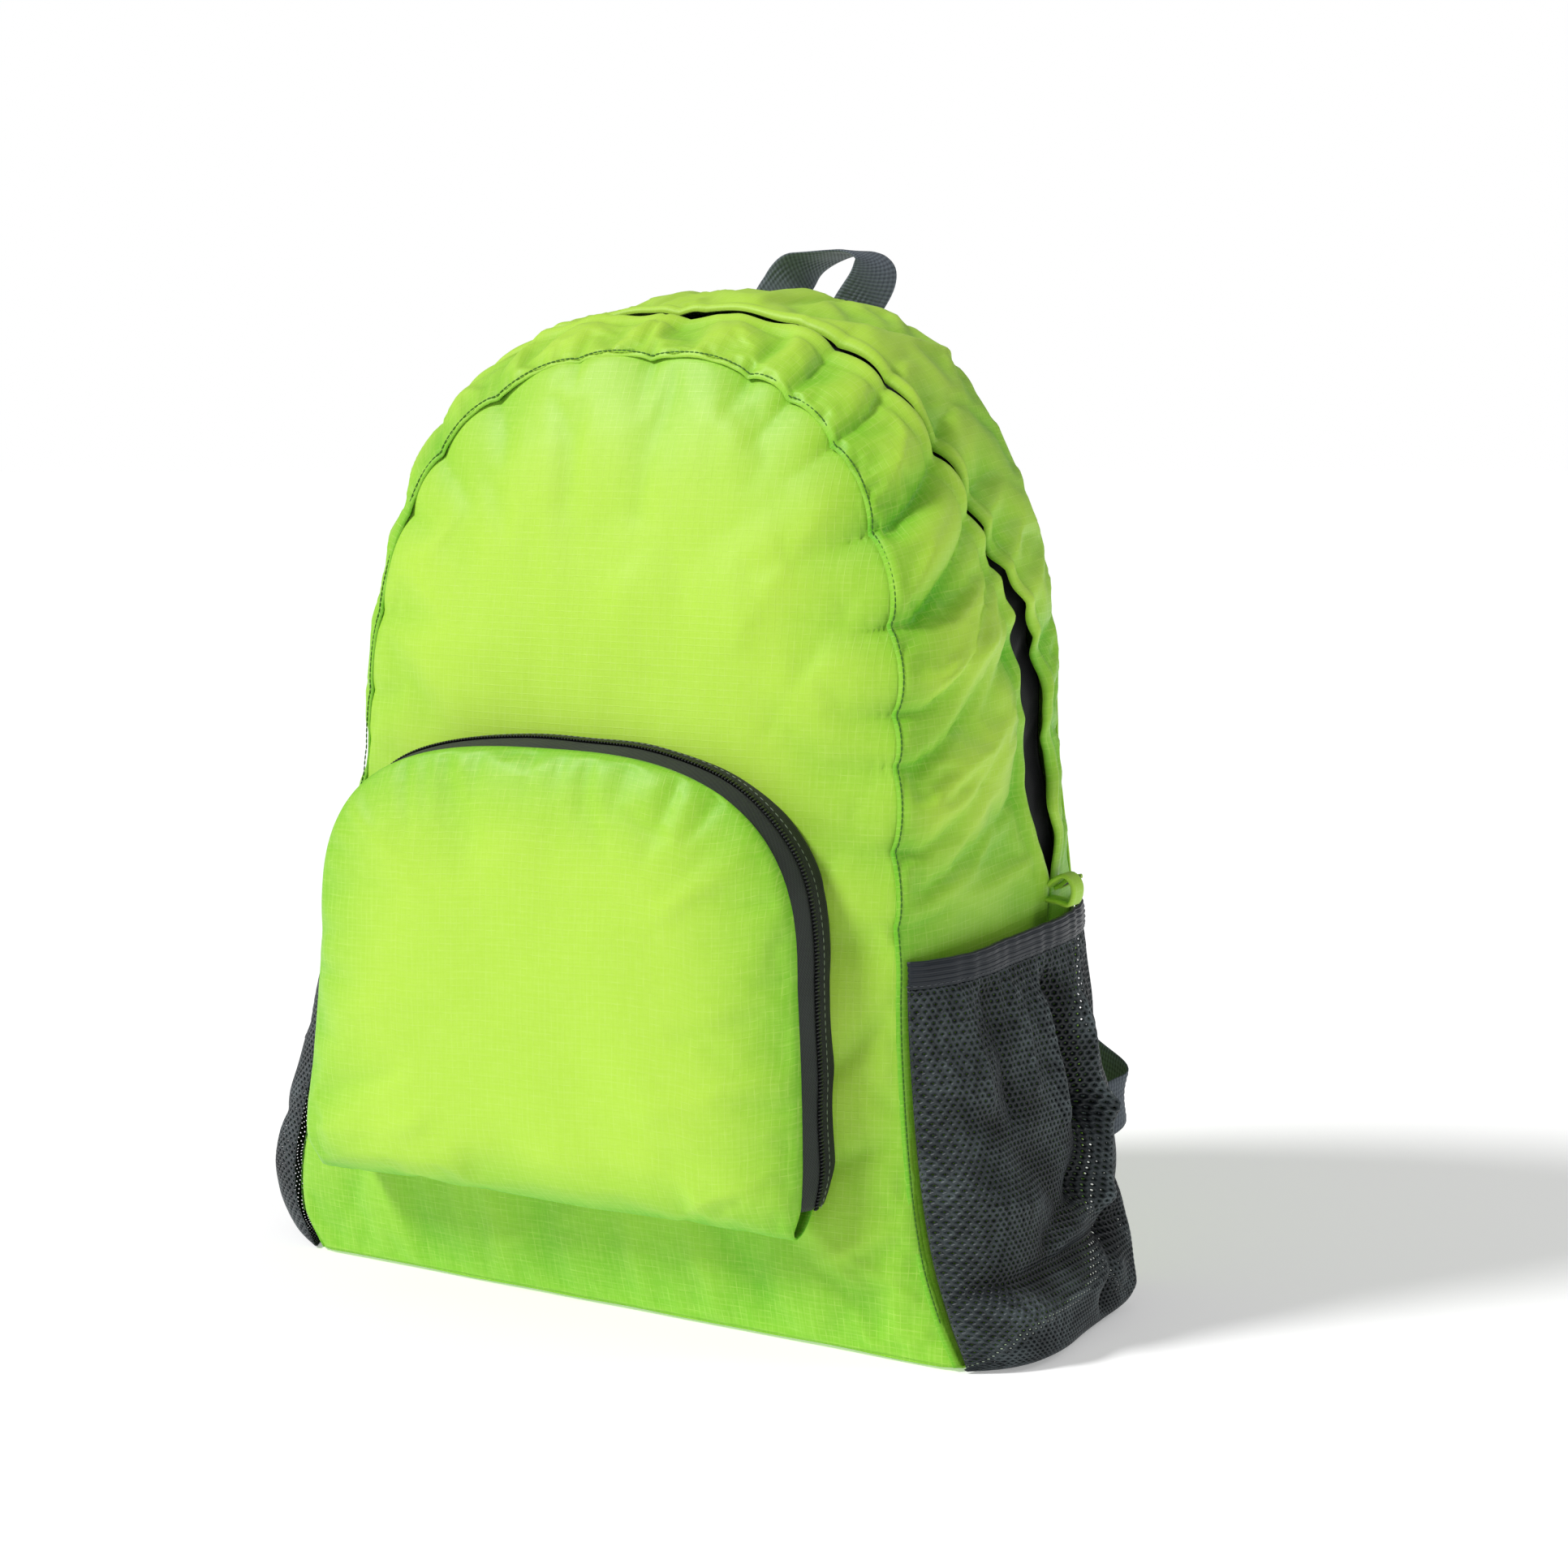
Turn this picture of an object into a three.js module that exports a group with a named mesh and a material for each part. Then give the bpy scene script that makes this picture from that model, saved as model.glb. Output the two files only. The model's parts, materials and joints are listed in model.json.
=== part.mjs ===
import * as THREE from "three";

// A light backpack that packs into its own front pocket, opened out, filled and standing.
// Lengths are in mm, +Z is up and the zipped front pocket looks towards -Y.
// Every number in a table is a share of the named size that its comment gives.

// Cloth
const cloth = 1.5; // wall of the ripstop panels
const meshWall = 1.2; // wall of the side pockets' net
const tapeWall = 1.2; // wall of the zip tapes
const webbing = 1.8; // wall of the straps' webbing
const gap = 0.3; // between neighbouring pieces

// Body
const frontHeight = 417; // floor to the top of the front seam
const backHeight = 442; // floor to the top of the back seam
const shoulderHeight = 240; // where the seams' sides turn into the arch
const frontHalf = 139; // middle to the front seam at shoulder height
const backHalf = 145; // middle to the back seam at shoulder height
const frontY = -64; // front seam at the floor
const bodyDepth = 142; // front seam to the back seam at the floor
const backY = frontY + bodyDepth;
const frontLean = 22; // how far the front seam leans back by its top
const backLean = 6; // how far the back seam leans forward by its top
const frontArch = { right: 2.5, left: 2.5 }; // power of the front arch, 2 is an ellipse
const backArch = { right: 2.25, left: 2.6 }; // power of the back arch
const sidePuff = 8; // how far the sides bulge out between the seams
const frontCrown = 13; // how far the front panel bulges
const backCrown = 5; // how far the back panel bulges
const foldDepth = 5; // deepest fold of the sides and front
const foldWidth = 11; // half width of a common fold
const gatherDepth = 1.6; // depth of the gathers along the front seam
const gatherPitch = 34; // from one gather to the next

// Main zip
const zipStart = 179; // length of seam from the floor to the zip's lower end
const zipTapeWidth = 26;
const zipLipGap = 4.5; // widest gap between the flaps that hide the zip
const coilWidth = 4;
const coilHeight = 1.6;
const tabWidth = 12; // folded tab at each end of the zip
const tabReach = 11;
const sliderLength = 10;
const sliderWidth = 8;
const sliderHeight = 4;
const pullLength = 24;
const pullWidth = 6;

// Zipped front pocket
const pocketCentre = -9; // across from the middle of the body
const pocketHalf = 119;
const pocketFoot = 56; // floor to the pocket's lower edge
const pocketShoulder = 160;
const pocketTop = 250;
const pocketArch = { right: 2.7, left: 2.9 };
const pocketStandoff = 34; // front seam's foot to the edge of the pocket's face
const pocketSkew = 4; // how much nearer the left edge stands than the middle
const pocketCrown = 13;
const pocketLift = 12; // how much higher the pocket's underside meets the body

// Net side pockets
const netFoot = cloth + gap; // floor to the inner face of the net at its foot
const netTop = 164; // floor to the net's upper edge at the back
const netSlope = 9; // how much lower that edge is at the front
const bandHeight = 12;
const bandWall = 2.2;
const netBulge = { right: 29, left: 31 };

// Handle and shoulder straps
const webWidth = 25;
const handleWidth = 22;
const handleSpan = 52;
const handleRise = 22;
const strapWidth = 58;
const strapThick = 9;
const strapDrop = 36; // top of the back seam to the upper end of a shoulder strap
const strapEnd = 170; // floor to its lower end
const strapTop = backHeight - strapDrop;
const strapStandoff = 22; // how far a strap bows away from the back
const buckleWidth = 36;
const buckleHeight = 26;
const buckleThick = 4;
const buckleBar = 6;

const lime = 0xa6e22e;
const charcoal = 0x2b3036;
const tapeGrey = 0x35383c;
const black = 0x16181a;

// Half widths of the seams below the shoulder: height is a share of the stretch from the
// floor to the shoulder, right and left are shares of the half width.
const frontFoot = [
  { height: 0, right: 1.225, left: 1.22 },
  { height: 0.07, right: 1.165, left: 1.29 },
  { height: 0.18, right: 1.1, left: 1.29 },
  { height: 0.33, right: 1.058, left: 1.22 },
  { height: 0.54, right: 1.029, left: 1.15 },
  { height: 0.71, right: 1.02, left: 1.09 },
  { height: 1, right: 1, left: 1 },
];
const backFoot = [
  { height: 0, right: 1.13, left: 1.17 },
  { height: 0.2, right: 1.105, left: 1.18 },
  { height: 0.45, right: 1.08, left: 1.14 },
  { height: 0.73, right: 1.055, left: 1.07 },
  { height: 1, right: 1, left: 1 },
];
const pocketSides = [
  { height: 0, right: 0.985, left: 1.06 },
  { height: 0.12, right: 1.015, left: 1.12 },
  { height: 0.5, right: 1.018, left: 1.08 },
  { height: 1, right: 1, left: 1.03 },
];

// Where the zip runs on the side: along is a share of half the seam's length, across a share
// of the way from the front seam to the back seam, open a share of zipLipGap. puff is how far
// the side bulges there, as a share of sidePuff.
const zipLine = [
  { along: 0, across: 0.76, open: 0.3, puff: 0.4 },
  { along: 0.15, across: 0.76, open: 0.3, puff: 0.45 },
  { along: 0.28, across: 0.76, open: 0.3, puff: 0.9 },
  { along: 0.36, across: 0.75, open: 0.3, puff: 1.05 },
  { along: 0.42, across: 0.7, open: 0.9, puff: 1.1 },
  { along: 0.5, across: 0.68, open: 1, puff: 1.25 },
  { along: 0.57, across: 0.63, open: 0.75, puff: 1.35 },
  { along: 0.64, across: 0.5, open: 0.25, puff: 1.5 },
  { along: 0.7, across: 0.39, open: 0.2, puff: 1.7 },
  { along: 0.76, across: 0.3, open: 0.3, puff: 1.85 },
  { along: 0.84, across: 0.27, open: 0.5, puff: 1.8 },
  { along: 0.92, across: 0.29, open: 0.25, puff: 1.3 },
  { along: 1, across: 0.27, open: 0.6, puff: 1 },
];

// Folds of the sides, fading at both ends. across and along as above, width a share of
// foldWidth and depth a share of foldDepth, inward where it is negative.
const sideFolds = [
  { across: [0.02, 0.5], along: [0.61, 0.665], width: 1, depth: -0.95 },
  { across: [0.05, 0.48], along: [0.565, 0.6], width: 1, depth: 0.7 },
  { across: [0.02, 0.55], along: [0.5, 0.57], width: 1.1, depth: -1 },
  { across: [0.04, 0.5], along: [0.445, 0.49], width: 1, depth: 0.6 },
  { across: [0.02, 0.6], along: [0.385, 0.45], width: 0.9, depth: -0.8 },
  { across: [0.1, 0.7], along: [0.37, 0.39], width: 0.9, depth: 0.5 },
  { across: [0.06, 0.34], along: [0.745, 0.735], width: 0.8, depth: -0.7 },
  { across: [0.06, 0.36], along: [0.815, 0.795], width: 0.7, depth: -0.7 },
  { across: [0.06, 0.38], along: [0.875, 0.85], width: 0.7, depth: -0.6 },
  { across: [0.62, 0.97], along: [0.7, 0.68], width: 0.9, depth: -0.5 },
];

// Folds of the front panel: across is a share of frontHalf from the middle, up is a share
// of frontHeight.
const frontFolds = [
  { across: [0.95, 0.5], up: [0.04, 0.16], width: 1.3, depth: -0.8 },
  { across: [0.62, 0.4], up: [0.03, 0.13], width: 1.1, depth: -0.5 },
  { across: [-0.95, -1.1], up: [0.13, 0.03], width: 1.2, depth: -0.6 },
  { across: [0.97, 0.8], up: [0.62, 0.5], width: 1.2, depth: -0.5 },
  { across: [-0.4, -0.62], up: [0.94, 0.8], width: 1.2, depth: -0.4 },
  { across: [0.45, 0.62], up: [0.93, 0.8], width: 1.2, depth: -0.4 },
];

// Net pocket from its foot to its upper edge: height is a share of the net's height, bulge a
// share of netBulge.
const netProfile = [
  { along: 0, height: 0, bulge: 0 },
  { along: 0.1, height: 0, bulge: 0.68 },
  { along: 0.2, height: 0.04, bulge: 0.96 },
  { along: 0.36, height: 0.2, bulge: 1 },
  { along: 0.58, height: 0.45, bulge: 0.94 },
  { along: 0.8, height: 0.73, bulge: 0.7 },
  { along: 1, height: 1, bulge: 0.5 },
];
// Folds of the net: across as above, along as in netProfile.
const netFolds = [
  { across: [0.12, 0.95], along: [0.34, 0.37], width: 0.8, depth: -0.8 },
  { across: [0.62, 0.66], along: [0.97, 0.5], width: 0.8, depth: -0.9 },
  { across: [0.78, 0.84], along: [0.97, 0.6], width: 0.7, depth: -0.7 },
  { across: [0.3, 0.42], along: [0.97, 0.7], width: 0.7, depth: -0.6 },
];

// Handle: across is a share of handleSpan from its middle, up of handleRise, back of
// handleWidth. The web turns from flat against the back to level on top.
const handlePath = [
  { across: -0.56, up: -0.35, back: 0.1, turn: 0 },
  { across: -0.4, up: 0.22, back: 0.2, turn: 0.12 },
  { across: -0.17, up: 0.75, back: 0.34, turn: 0.5 },
  { across: 0.22, up: 1, back: 0.5, turn: 0.85 },
  { across: 0.46, up: 0.85, back: 0.5, turn: 0.8 },
  { across: 0.5, up: 0.4, back: 0.34, turn: 0.5 },
  { across: 0.33, up: -0.35, back: 0.1, turn: 0.2 },
];

// Shoulder strap from its top: across is a share of backHalf, bow of strapStandoff, width of
// strapWidth.
const strapPath = [
  { along: 0, across: 0.36, bow: 0, width: 1 },
  { along: 0.2, across: 0.44, bow: 0.35, width: 1.02 },
  { along: 0.45, across: 0.57, bow: 0.85, width: 1 },
  { along: 0.75, across: 0.7, bow: 1, width: 0.88 },
  { along: 1, across: 0.76, bow: 0.75, width: 0.62 },
];

// Lower webbing from the buckle to the back seam: across is a share of backHalf, up of the
// buckle's height above the floor, bow of strapStandoff, turn as in handlePath.
const webPath = [
  { across: 0.76, up: 1, bow: 0.75, turn: 0 },
  { across: 0.76, up: 0.92, bow: 0.85, turn: 0 },
  { across: 0.83, up: 0.79, bow: 1, turn: 0.3 },
  { across: 0.99, up: 0.66, bow: 1.1, turn: 0.75 },
  { across: 1.11, up: 0.59, bow: 0.9, turn: 1 },
  { across: 1.12, up: 0.55, bow: 0.35, turn: 1 },
  { across: 1.05, up: 0.54, bow: 0.06, turn: 1 },
];

const baseZ = cloth + gap; // the walls stand on the bottom panel
const clamp = THREE.MathUtils.clamp;
const vector = (x, y, z) => new THREE.Vector3(x, y, z);

// Smooth reading of one column of a table at a value of its first column.
function read(rows, first, column, value) {
  const last = rows.length - 1;
  const v = clamp(value, rows[0][first], rows[last][first]);
  let i = 0;
  while (i < last - 1 && v > rows[i + 1][first]) i += 1;
  const slope = (k) => {
    const a = rows[Math.max(k - 1, 0)];
    const b = rows[Math.min(k + 1, last)];
    return (b[column] - a[column]) / (b[first] - a[first]);
  };
  const span = rows[i + 1][first] - rows[i][first];
  const u = (v - rows[i][first]) / span;
  const [a, b] = [rows[i][column], rows[i + 1][column]];
  const [da, db] = [slope(i) * span, slope(i + 1) * span];
  return a + u * (da + u * (3 * (b - a) - 2 * da - db + u * (2 * (a - b) + da + db)));
}

// Height of a set of folds at one point of a surface, with both directions in mm.
function foldAt(folds, second, a, b, spanA, spanB) {
  let sum = 0;
  for (const fold of folds) {
    const [a1, a2] = fold.across;
    const [b1, b2] = fold[second];
    const [dx, dz] = [(a2 - a1) * spanA, (b2 - b1) * spanB];
    const [px, pz] = [(a - a1) * spanA, (b - b1) * spanB];
    const length = Math.hypot(dx, dz);
    const along = (px * dx + pz * dz) / length / length;
    const reach = fold.width * foldWidth;
    const off = (px * dz - pz * dx) / length / reach;
    const past = (Math.max(0, -along, along - 1) * length) / reach;
    sum += fold.depth * foldDepth * Math.exp(-off * off - past * past);
  }
  return sum;
}

// A seam: it climbs one side from the floor, goes over an arch and down the other side.
// at(t) and out(t) give the point and its outward direction, t running from right to left.
function seam({ centre, half, foot, base, shoulder, top, power, depth }) {
  const halfAt = (z, side) => {
    if (z <= shoulder) {
      const share = clamp((z - base) / (shoulder - base), 0, 1);
      return half * read(foot, "height", side, share);
    }
    const rise = clamp((z - shoulder) / (top - shoulder), 0, 1);
    const ends = foot[foot.length - 1][side];
    return half * ends * (1 - rise ** power[side]) ** (1 / power[side]);
  };
  const points = [];
  const put = (x, z) => points.push(vector(centre + x, depth(z), z));
  const steps = 60;
  for (let i = 0; i <= steps; i += 1) {
    const z = base + ((shoulder - base) * i) / steps;
    put(halfAt(z, "right"), z);
  }
  for (let i = 1; i < 2 * steps; i += 1) {
    const turn = (Math.PI * i) / (2 * steps);
    const [c, s] = [Math.cos(turn), Math.sin(turn)];
    const side = c > 0 ? "right" : "left";
    const x = Math.sign(c) * half * foot[foot.length - 1][side] * Math.abs(c) ** (2 / power[side]);
    put(x, shoulder + (top - shoulder) * s ** (2 / power[side]));
  }
  for (let i = steps; i >= 0; i -= 1) {
    const z = base + ((shoulder - base) * i) / steps;
    put(-halfAt(z, "left"), z);
  }
  const lengths = [0];
  for (let i = 1; i < points.length; i += 1) {
    lengths.push(lengths[i - 1] + points[i].distanceTo(points[i - 1]));
  }
  const length = lengths[lengths.length - 1];
  const at = (t) => {
    const want = clamp(t, 0, 1) * length;
    let i = 1;
    while (i < points.length - 1 && lengths[i] < want) i += 1;
    const u = (want - lengths[i - 1]) / (lengths[i] - lengths[i - 1]);
    return points[i - 1].clone().lerp(points[i], u);
  };
  const out = (t) => {
    const step = 0.01;
    const d = at(t + step).sub(at(t - step));
    return vector(d.z, 0, -d.x).normalize();
  };
  return { at, out, length, halfAt, centre, base, top, depth };
}

// A closed body from a grid of points on its outer face, one wall thick. hint looks outward.
// Where the foot is level, the wall ends at one height. A wall below zero grows outward, so
// the grid is then its inner face.
function shell(columns, rows, outer, wall, hint, level = false) {
  const across = columns + 1;
  const grid = [];
  for (let j = 0; j <= rows; j += 1) {
    for (let i = 0; i <= columns; i += 1) grid.push(outer(i / columns, j / rows));
  }
  const point = (i, j) => grid[clamp(j, 0, rows) * across + clamp(i, 0, columns)];
  const normals = grid.map((p, k) => {
    const [i, j] = [k % across, Math.floor(k / across)];
    const du = point(i + 1, j).clone().sub(point(i - 1, j));
    const dv = point(i, j + 1).clone().sub(point(i, j - 1));
    return du.cross(dv).normalize();
  });
  const facing = normals.reduce((sum, n, k) => sum + n.dot(hint(grid[k])), 0);
  const inner = grid.map((p, k) => p.clone().addScaledVector(normals[k], -Math.sign(facing) * wall));
  if (level) inner.slice(0, across).forEach((p, k) => p.setZ(grid[k].z));
  const index = [];
  const quad = (a, b, c, d) => index.push(a, b, c, a, c, d);
  const shift = grid.length;
  for (let j = 0; j < rows; j += 1) {
    for (let i = 0; i < columns; i += 1) {
      const a = j * across + i;
      quad(a, a + 1, a + 1 + across, a + across);
      quad(shift + a, shift + a + across, shift + a + 1 + across, shift + a + 1);
    }
  }
  const side = (a, b) => quad(b, a, shift + a, shift + b);
  for (let i = 0; i < columns; i += 1) {
    side(i, i + 1);
    side(rows * across + i + 1, rows * across + i);
  }
  for (let j = 0; j < rows; j += 1) {
    side((j + 1) * across, j * across);
    side(j * across + columns, (j + 1) * across + columns);
  }
  return body([...grid, ...inner], index);
}

// A closed body swept along stations, each with a point and two directions; the ring lists
// how far each corner lies along them.
function sweep(stations, ring) {
  const points = [];
  for (const { at, across, up, wide = 1 } of stations) {
    for (const [a, b] of ring) {
      points.push(at.clone().addScaledVector(across, a * wide).addScaledVector(up, b));
    }
  }
  const n = ring.length;
  const index = [];
  for (let s = 0; s < stations.length - 1; s += 1) {
    for (let k = 0; k < n; k += 1) {
      const [a, b] = [s * n + k, s * n + ((k + 1) % n)];
      index.push(a, b, b + n, a, b + n, a + n);
    }
  }
  const end = (stations.length - 1) * n;
  for (let k = 1; k < n - 1; k += 1) {
    index.push(0, k + 1, k, end, end + k, end + k + 1);
  }
  return body(points, index);
}

// Geometry from points and triangles, turned so that its faces look outward.
function body(points, index) {
  let volume = 0;
  for (let k = 0; k < index.length; k += 3) {
    const [a, b, c] = [points[index[k]], points[index[k + 1]], points[index[k + 2]]];
    volume += a.dot(b.clone().cross(c));
  }
  if (volume < 0) index.reverse();
  const geometry = new THREE.BufferGeometry();
  geometry.setAttribute("position", new THREE.Float32BufferAttribute(points.flatMap((p) => p.toArray()), 3));
  geometry.setIndex(index);
  geometry.computeVertexNormals();
  return geometry;
}

const group = new THREE.Group();
group.name = "packable_backpack";

function add(name, geometry, color, roughness = 0.8) {
  const material = new THREE.MeshStandardMaterial({ color, roughness, metalness: 0 });
  const mesh = new THREE.Mesh(geometry, material);
  mesh.name = name;
  group.add(mesh);
}

const leanAt = (z, top, amount) => amount * clamp((z - shoulderHeight / 2) / (top - shoulderHeight / 2), 0, 1) ** 2;
const frontSeam = seam({
  centre: 0,
  half: frontHalf,
  foot: frontFoot,
  base: baseZ,
  shoulder: shoulderHeight,
  top: frontHeight,
  power: frontArch,
  depth: (z) => frontY + leanAt(z, frontHeight, frontLean),
});
const backSeam = seam({
  centre: 0,
  half: backHalf,
  foot: backFoot,
  base: baseZ,
  shoulder: shoulderHeight,
  top: backHeight,
  power: backArch,
  depth: (z) => backY - leanAt(z, backHeight, backLean),
});

// How full a panel is at a point: nothing on its seam, all of it in the middle. The larger
// the hem, the sooner it is full above its lower edge.
function fullness(line, x, z, hem = 14) {
  const side = x > line.centre ? "right" : "left";
  const half = Math.max(line.halfAt(z, side), 1);
  const u = clamp(Math.abs(x - line.centre) / half, 0, 1);
  const v = clamp((z - line.base) / (line.top - line.base), 0, 1);
  return (1 - u ** 4) * (1 - v ** 8) * (1 - (1 - v) ** hem);
}

function frontFace(x, z) {
  const full = fullness(frontSeam, x, z);
  const folds = foldAt(frontFolds, "up", x / frontHalf, z / frontHeight, frontHalf, frontHeight);
  return frontSeam.depth(z) - full * frontCrown - Math.min(1, full * 2) * folds;
}

function backFace(x, z) {
  return backSeam.depth(z) + fullness(backSeam, x, z) * backCrown;
}

// Point of a panel inside a seam; the corners of its grid lie part way up the arch.
function insideSeam(line, corner) {
  const corners = [line.at(1), line.at(0), line.at(corner), line.at(1 - corner)];
  return (u, v) => {
    const left = line.at(1 - corner * v);
    const right = line.at(corner * v);
    const over = line.at(1 - corner - u * (1 - 2 * corner));
    const under = corners[0].clone().lerp(corners[1], u);
    const flat = corners[0].clone().lerp(corners[1], u).lerp(corners[3].clone().lerp(corners[2], u), v);
    return left.lerp(right, u).add(under.lerp(over, v)).sub(flat);
  };
}

const frontAt = insideSeam(frontSeam, 0.36);
const frontSteps = 18;
add("front_panel", shell(frontSteps, frontSteps, (u, v) => {
  const p = frontAt(u, v);
  return p.setY(frontFace(p.x, p.z));
}, cloth, () => vector(0, -1, 0)), lime);

const backAt = insideSeam(backSeam, 0.36);
const backSteps = 12;
add("back_panel", shell(backSteps, backSteps, (u, v) => {
  const p = backAt(u, v);
  return p.setY(backFace(p.x, p.z));
}, cloth, () => vector(0, 1, 0)), lime);

// The sides: across runs from the front seam to the back seam, t along both seams.
const frontEdge = cloth + gap;
const halfSeam = frontSeam.length / 2;
const alongAt = (t) => 2 * Math.min(t, 1 - t);
const sideColumns = 10;

function sideOut(t, across) {
  const out = frontSeam.out(t).lerp(backSeam.out(t), across);
  out.z *= clamp(alongAt(t) * 5, 0, 1); // level at the foot
  return out.normalize();
}

function sideFace(across, t) {
  const a = frontSeam.at(t).add(vector(0, frontEdge, 0));
  const b = backSeam.at(t).sub(vector(0, frontEdge, 0));
  const along = alongAt(t);
  const puff = sidePuff * read(zipLine, "along", "puff", along) * (1 - (2 * across - 1) ** 4);
  const folds = foldAt(sideFolds, "along", across, along, bodyDepth, halfSeam);
  const near = across / 0.1;
  const gather = gatherDepth * near * Math.exp(1 - near) * Math.cos((2 * Math.PI * t * frontSeam.length) / gatherPitch);
  const arch = clamp((along - 0.36) * 10, 0, 1);
  const edge = Math.min(1, 12 * across, 12 * (1 - across));
  return a.lerp(b, across).addScaledVector(sideOut(t, across), puff + (folds * edge + gather) * arch);
}

// Outward direction of the side's own face, folds and all.
function sideNormal(across, t) {
  const step = 0.01;
  const du = sideFace(across + step, t).sub(sideFace(across - step, t));
  const dt = sideFace(across, t + step / 4).sub(sideFace(across, t - step / 4));
  const normal = du.cross(dt).normalize();
  return normal.dot(sideOut(t, across)) < 0 ? normal.negate() : normal;
}

const archSteps = 60;
const zipT = zipStart / frontSeam.length;
const zipGapT = gap / frontSeam.length / 2;
const zipAcross = (t) => read(zipLine, "along", "across", alongAt(t));
const zipOpen = (t) => (read(zipLine, "along", "open", alongAt(t)) * zipLipGap) / 2 / bodyDepth;
const archT = (v) => zipT + zipGapT + v * (1 - 2 * (zipT + zipGapT));
const sideHint = (p) => vector(p.x, 0, p.z - shoulderHeight / 2);

for (const [name, left] of [["right", false], ["left", true]]) {
  const turn = (t) => (left ? 1 - t : t);
  add(`side_panel_${name}`, shell(sideColumns, 8, (u, v) => sideFace(u, turn(v * (zipT - zipGapT))), cloth, sideHint, true), lime);
}

add("gusset_front", shell(6, archSteps, (u, v) => {
  const t = archT(v);
  return sideFace(u * (zipAcross(t) - zipOpen(t)), t);
}, cloth, sideHint), lime);

add("gusset_rear", shell(4, archSteps, (u, v) => {
  const t = archT(v);
  const start = zipAcross(t) + zipOpen(t);
  return sideFace(start + u * (1 - start), t);
}, cloth, sideHint), lime);

// Main zip: the tape lies under both flaps and the coil stands in the gap between them.
const underFlap = cloth + gap + coilHeight + 4 * gap;
add("main_zip_tape", shell(2, archSteps, (u, v) => {
  const t = archT(v);
  const across = zipAcross(t) + ((u - 0.5) * zipTapeWidth) / bodyDepth;
  return sideFace(across, t).addScaledVector(sideNormal(across, t), -underFlap);
}, tapeWall, sideHint), black);

// A coil standing on a tape: a low rib with a flat back.
function coil(steps, at, out) {
  const ring = [[-0.5, 0], [-0.32, 1], [0.32, 1], [0.5, 0]];
  const stations = [];
  for (let i = 0; i <= steps; i += 1) {
    const up = out(i / steps);
    const across = vector(0, 1, 0).addScaledVector(up, -up.y).normalize();
    stations.push({ at: at(i / steps), across, up });
  }
  return sweep(stations, ring.map(([a, b]) => [a * coilWidth, b * coilHeight]));
}

add("main_zip_coil", coil(archSteps, (v) => {
  const t = archT(v);
  return sideFace(zipAcross(t), t).addScaledVector(sideNormal(zipAcross(t), t), 4 * gap - underFlap);
}, (v) => sideNormal(zipAcross(archT(v)), archT(v))), black);

// A slider lying along a zip from one point of it towards another, with its pull behind it.
function slider(name, from, to, outward) {
  const down = to.clone().sub(from).normalize();
  const across = outward.clone().cross(down).normalize();
  const out = down.clone().cross(across);
  const block = (start, end, width, low, high) => sweep(
    [start, end].map((way) => ({ at: from.clone().addScaledVector(down, way), across, up: out })),
    [[-width / 2, low], [width / 2, low], [width / 2, high], [-width / 2, high]],
  );
  add(`${name}_slider`, block(0, sliderLength, sliderWidth, 2 * gap, 2 * gap + sliderHeight), black, 0.4);
  const start = sliderLength + gap;
  add(`${name}_pull`, block(start, start + pullLength, pullWidth, 3 * gap, gap + sliderHeight / 2), black, 0.5);
}

// A folded tab at each lower end of the main zip, standing out from the side.
for (const [name, left] of [["right", false], ["left", true]]) {
  const t = left ? 1 - zipT : zipT;
  const across = zipAcross(t);
  const out = sideNormal(across, t);
  const up = vector(0, 0, 1).addScaledVector(out, -out.z).normalize();
  const bend = tabWidth / 4;
  const foot = sideFace(across, t).addScaledVector(up, bend);
  const path = [[0, 1], [0.8, 1], [0.97, 0.6], [1, 0], [0.97, -0.6], [0.8, -1], [0, -1]];
  const stations = path.map(([reach, rise], k) => {
    const [r0, z0] = path[Math.max(k - 1, 0)];
    const [r1, z1] = path[Math.min(k + 1, path.length - 1)];
    const along = out.clone().multiplyScalar((r1 - r0) * tabReach).addScaledVector(up, (z1 - z0) * bend).normalize();
    const at = foot.clone().addScaledVector(out, gap + reach * tabReach).addScaledVector(up, rise * bend);
    const side = out.clone().cross(up);
    return { at, across: side, up: along.cross(side) };
  });
  const [w, h] = [tabWidth / 2, cloth / 2];
  add(`zip_tab_${name}`, sweep(stations, [[-w, -h], [w, -h], [w, h], [-w, h]]), lime);
}

add("bottom_panel", (() => {
  const outline = new THREE.Shape();
  const steps = 8;
  outline.moveTo(frontSeam.at(1).x, frontSeam.at(1).y);
  outline.lineTo(frontSeam.at(0).x, frontSeam.at(0).y);
  for (let i = 0; i <= steps; i += 1) outline.lineTo(sideFace(i / steps, 0).x, sideFace(i / steps, 0).y);
  outline.lineTo(backSeam.at(0).x, backSeam.at(0).y);
  outline.lineTo(backSeam.at(1).x, backSeam.at(1).y);
  for (let i = steps; i >= 0; i -= 1) outline.lineTo(sideFace(i / steps, 1).x, sideFace(i / steps, 1).y);
  return new THREE.ExtrudeGeometry(outline, { depth: cloth, bevelEnabled: false });
})(), lime);

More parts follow.
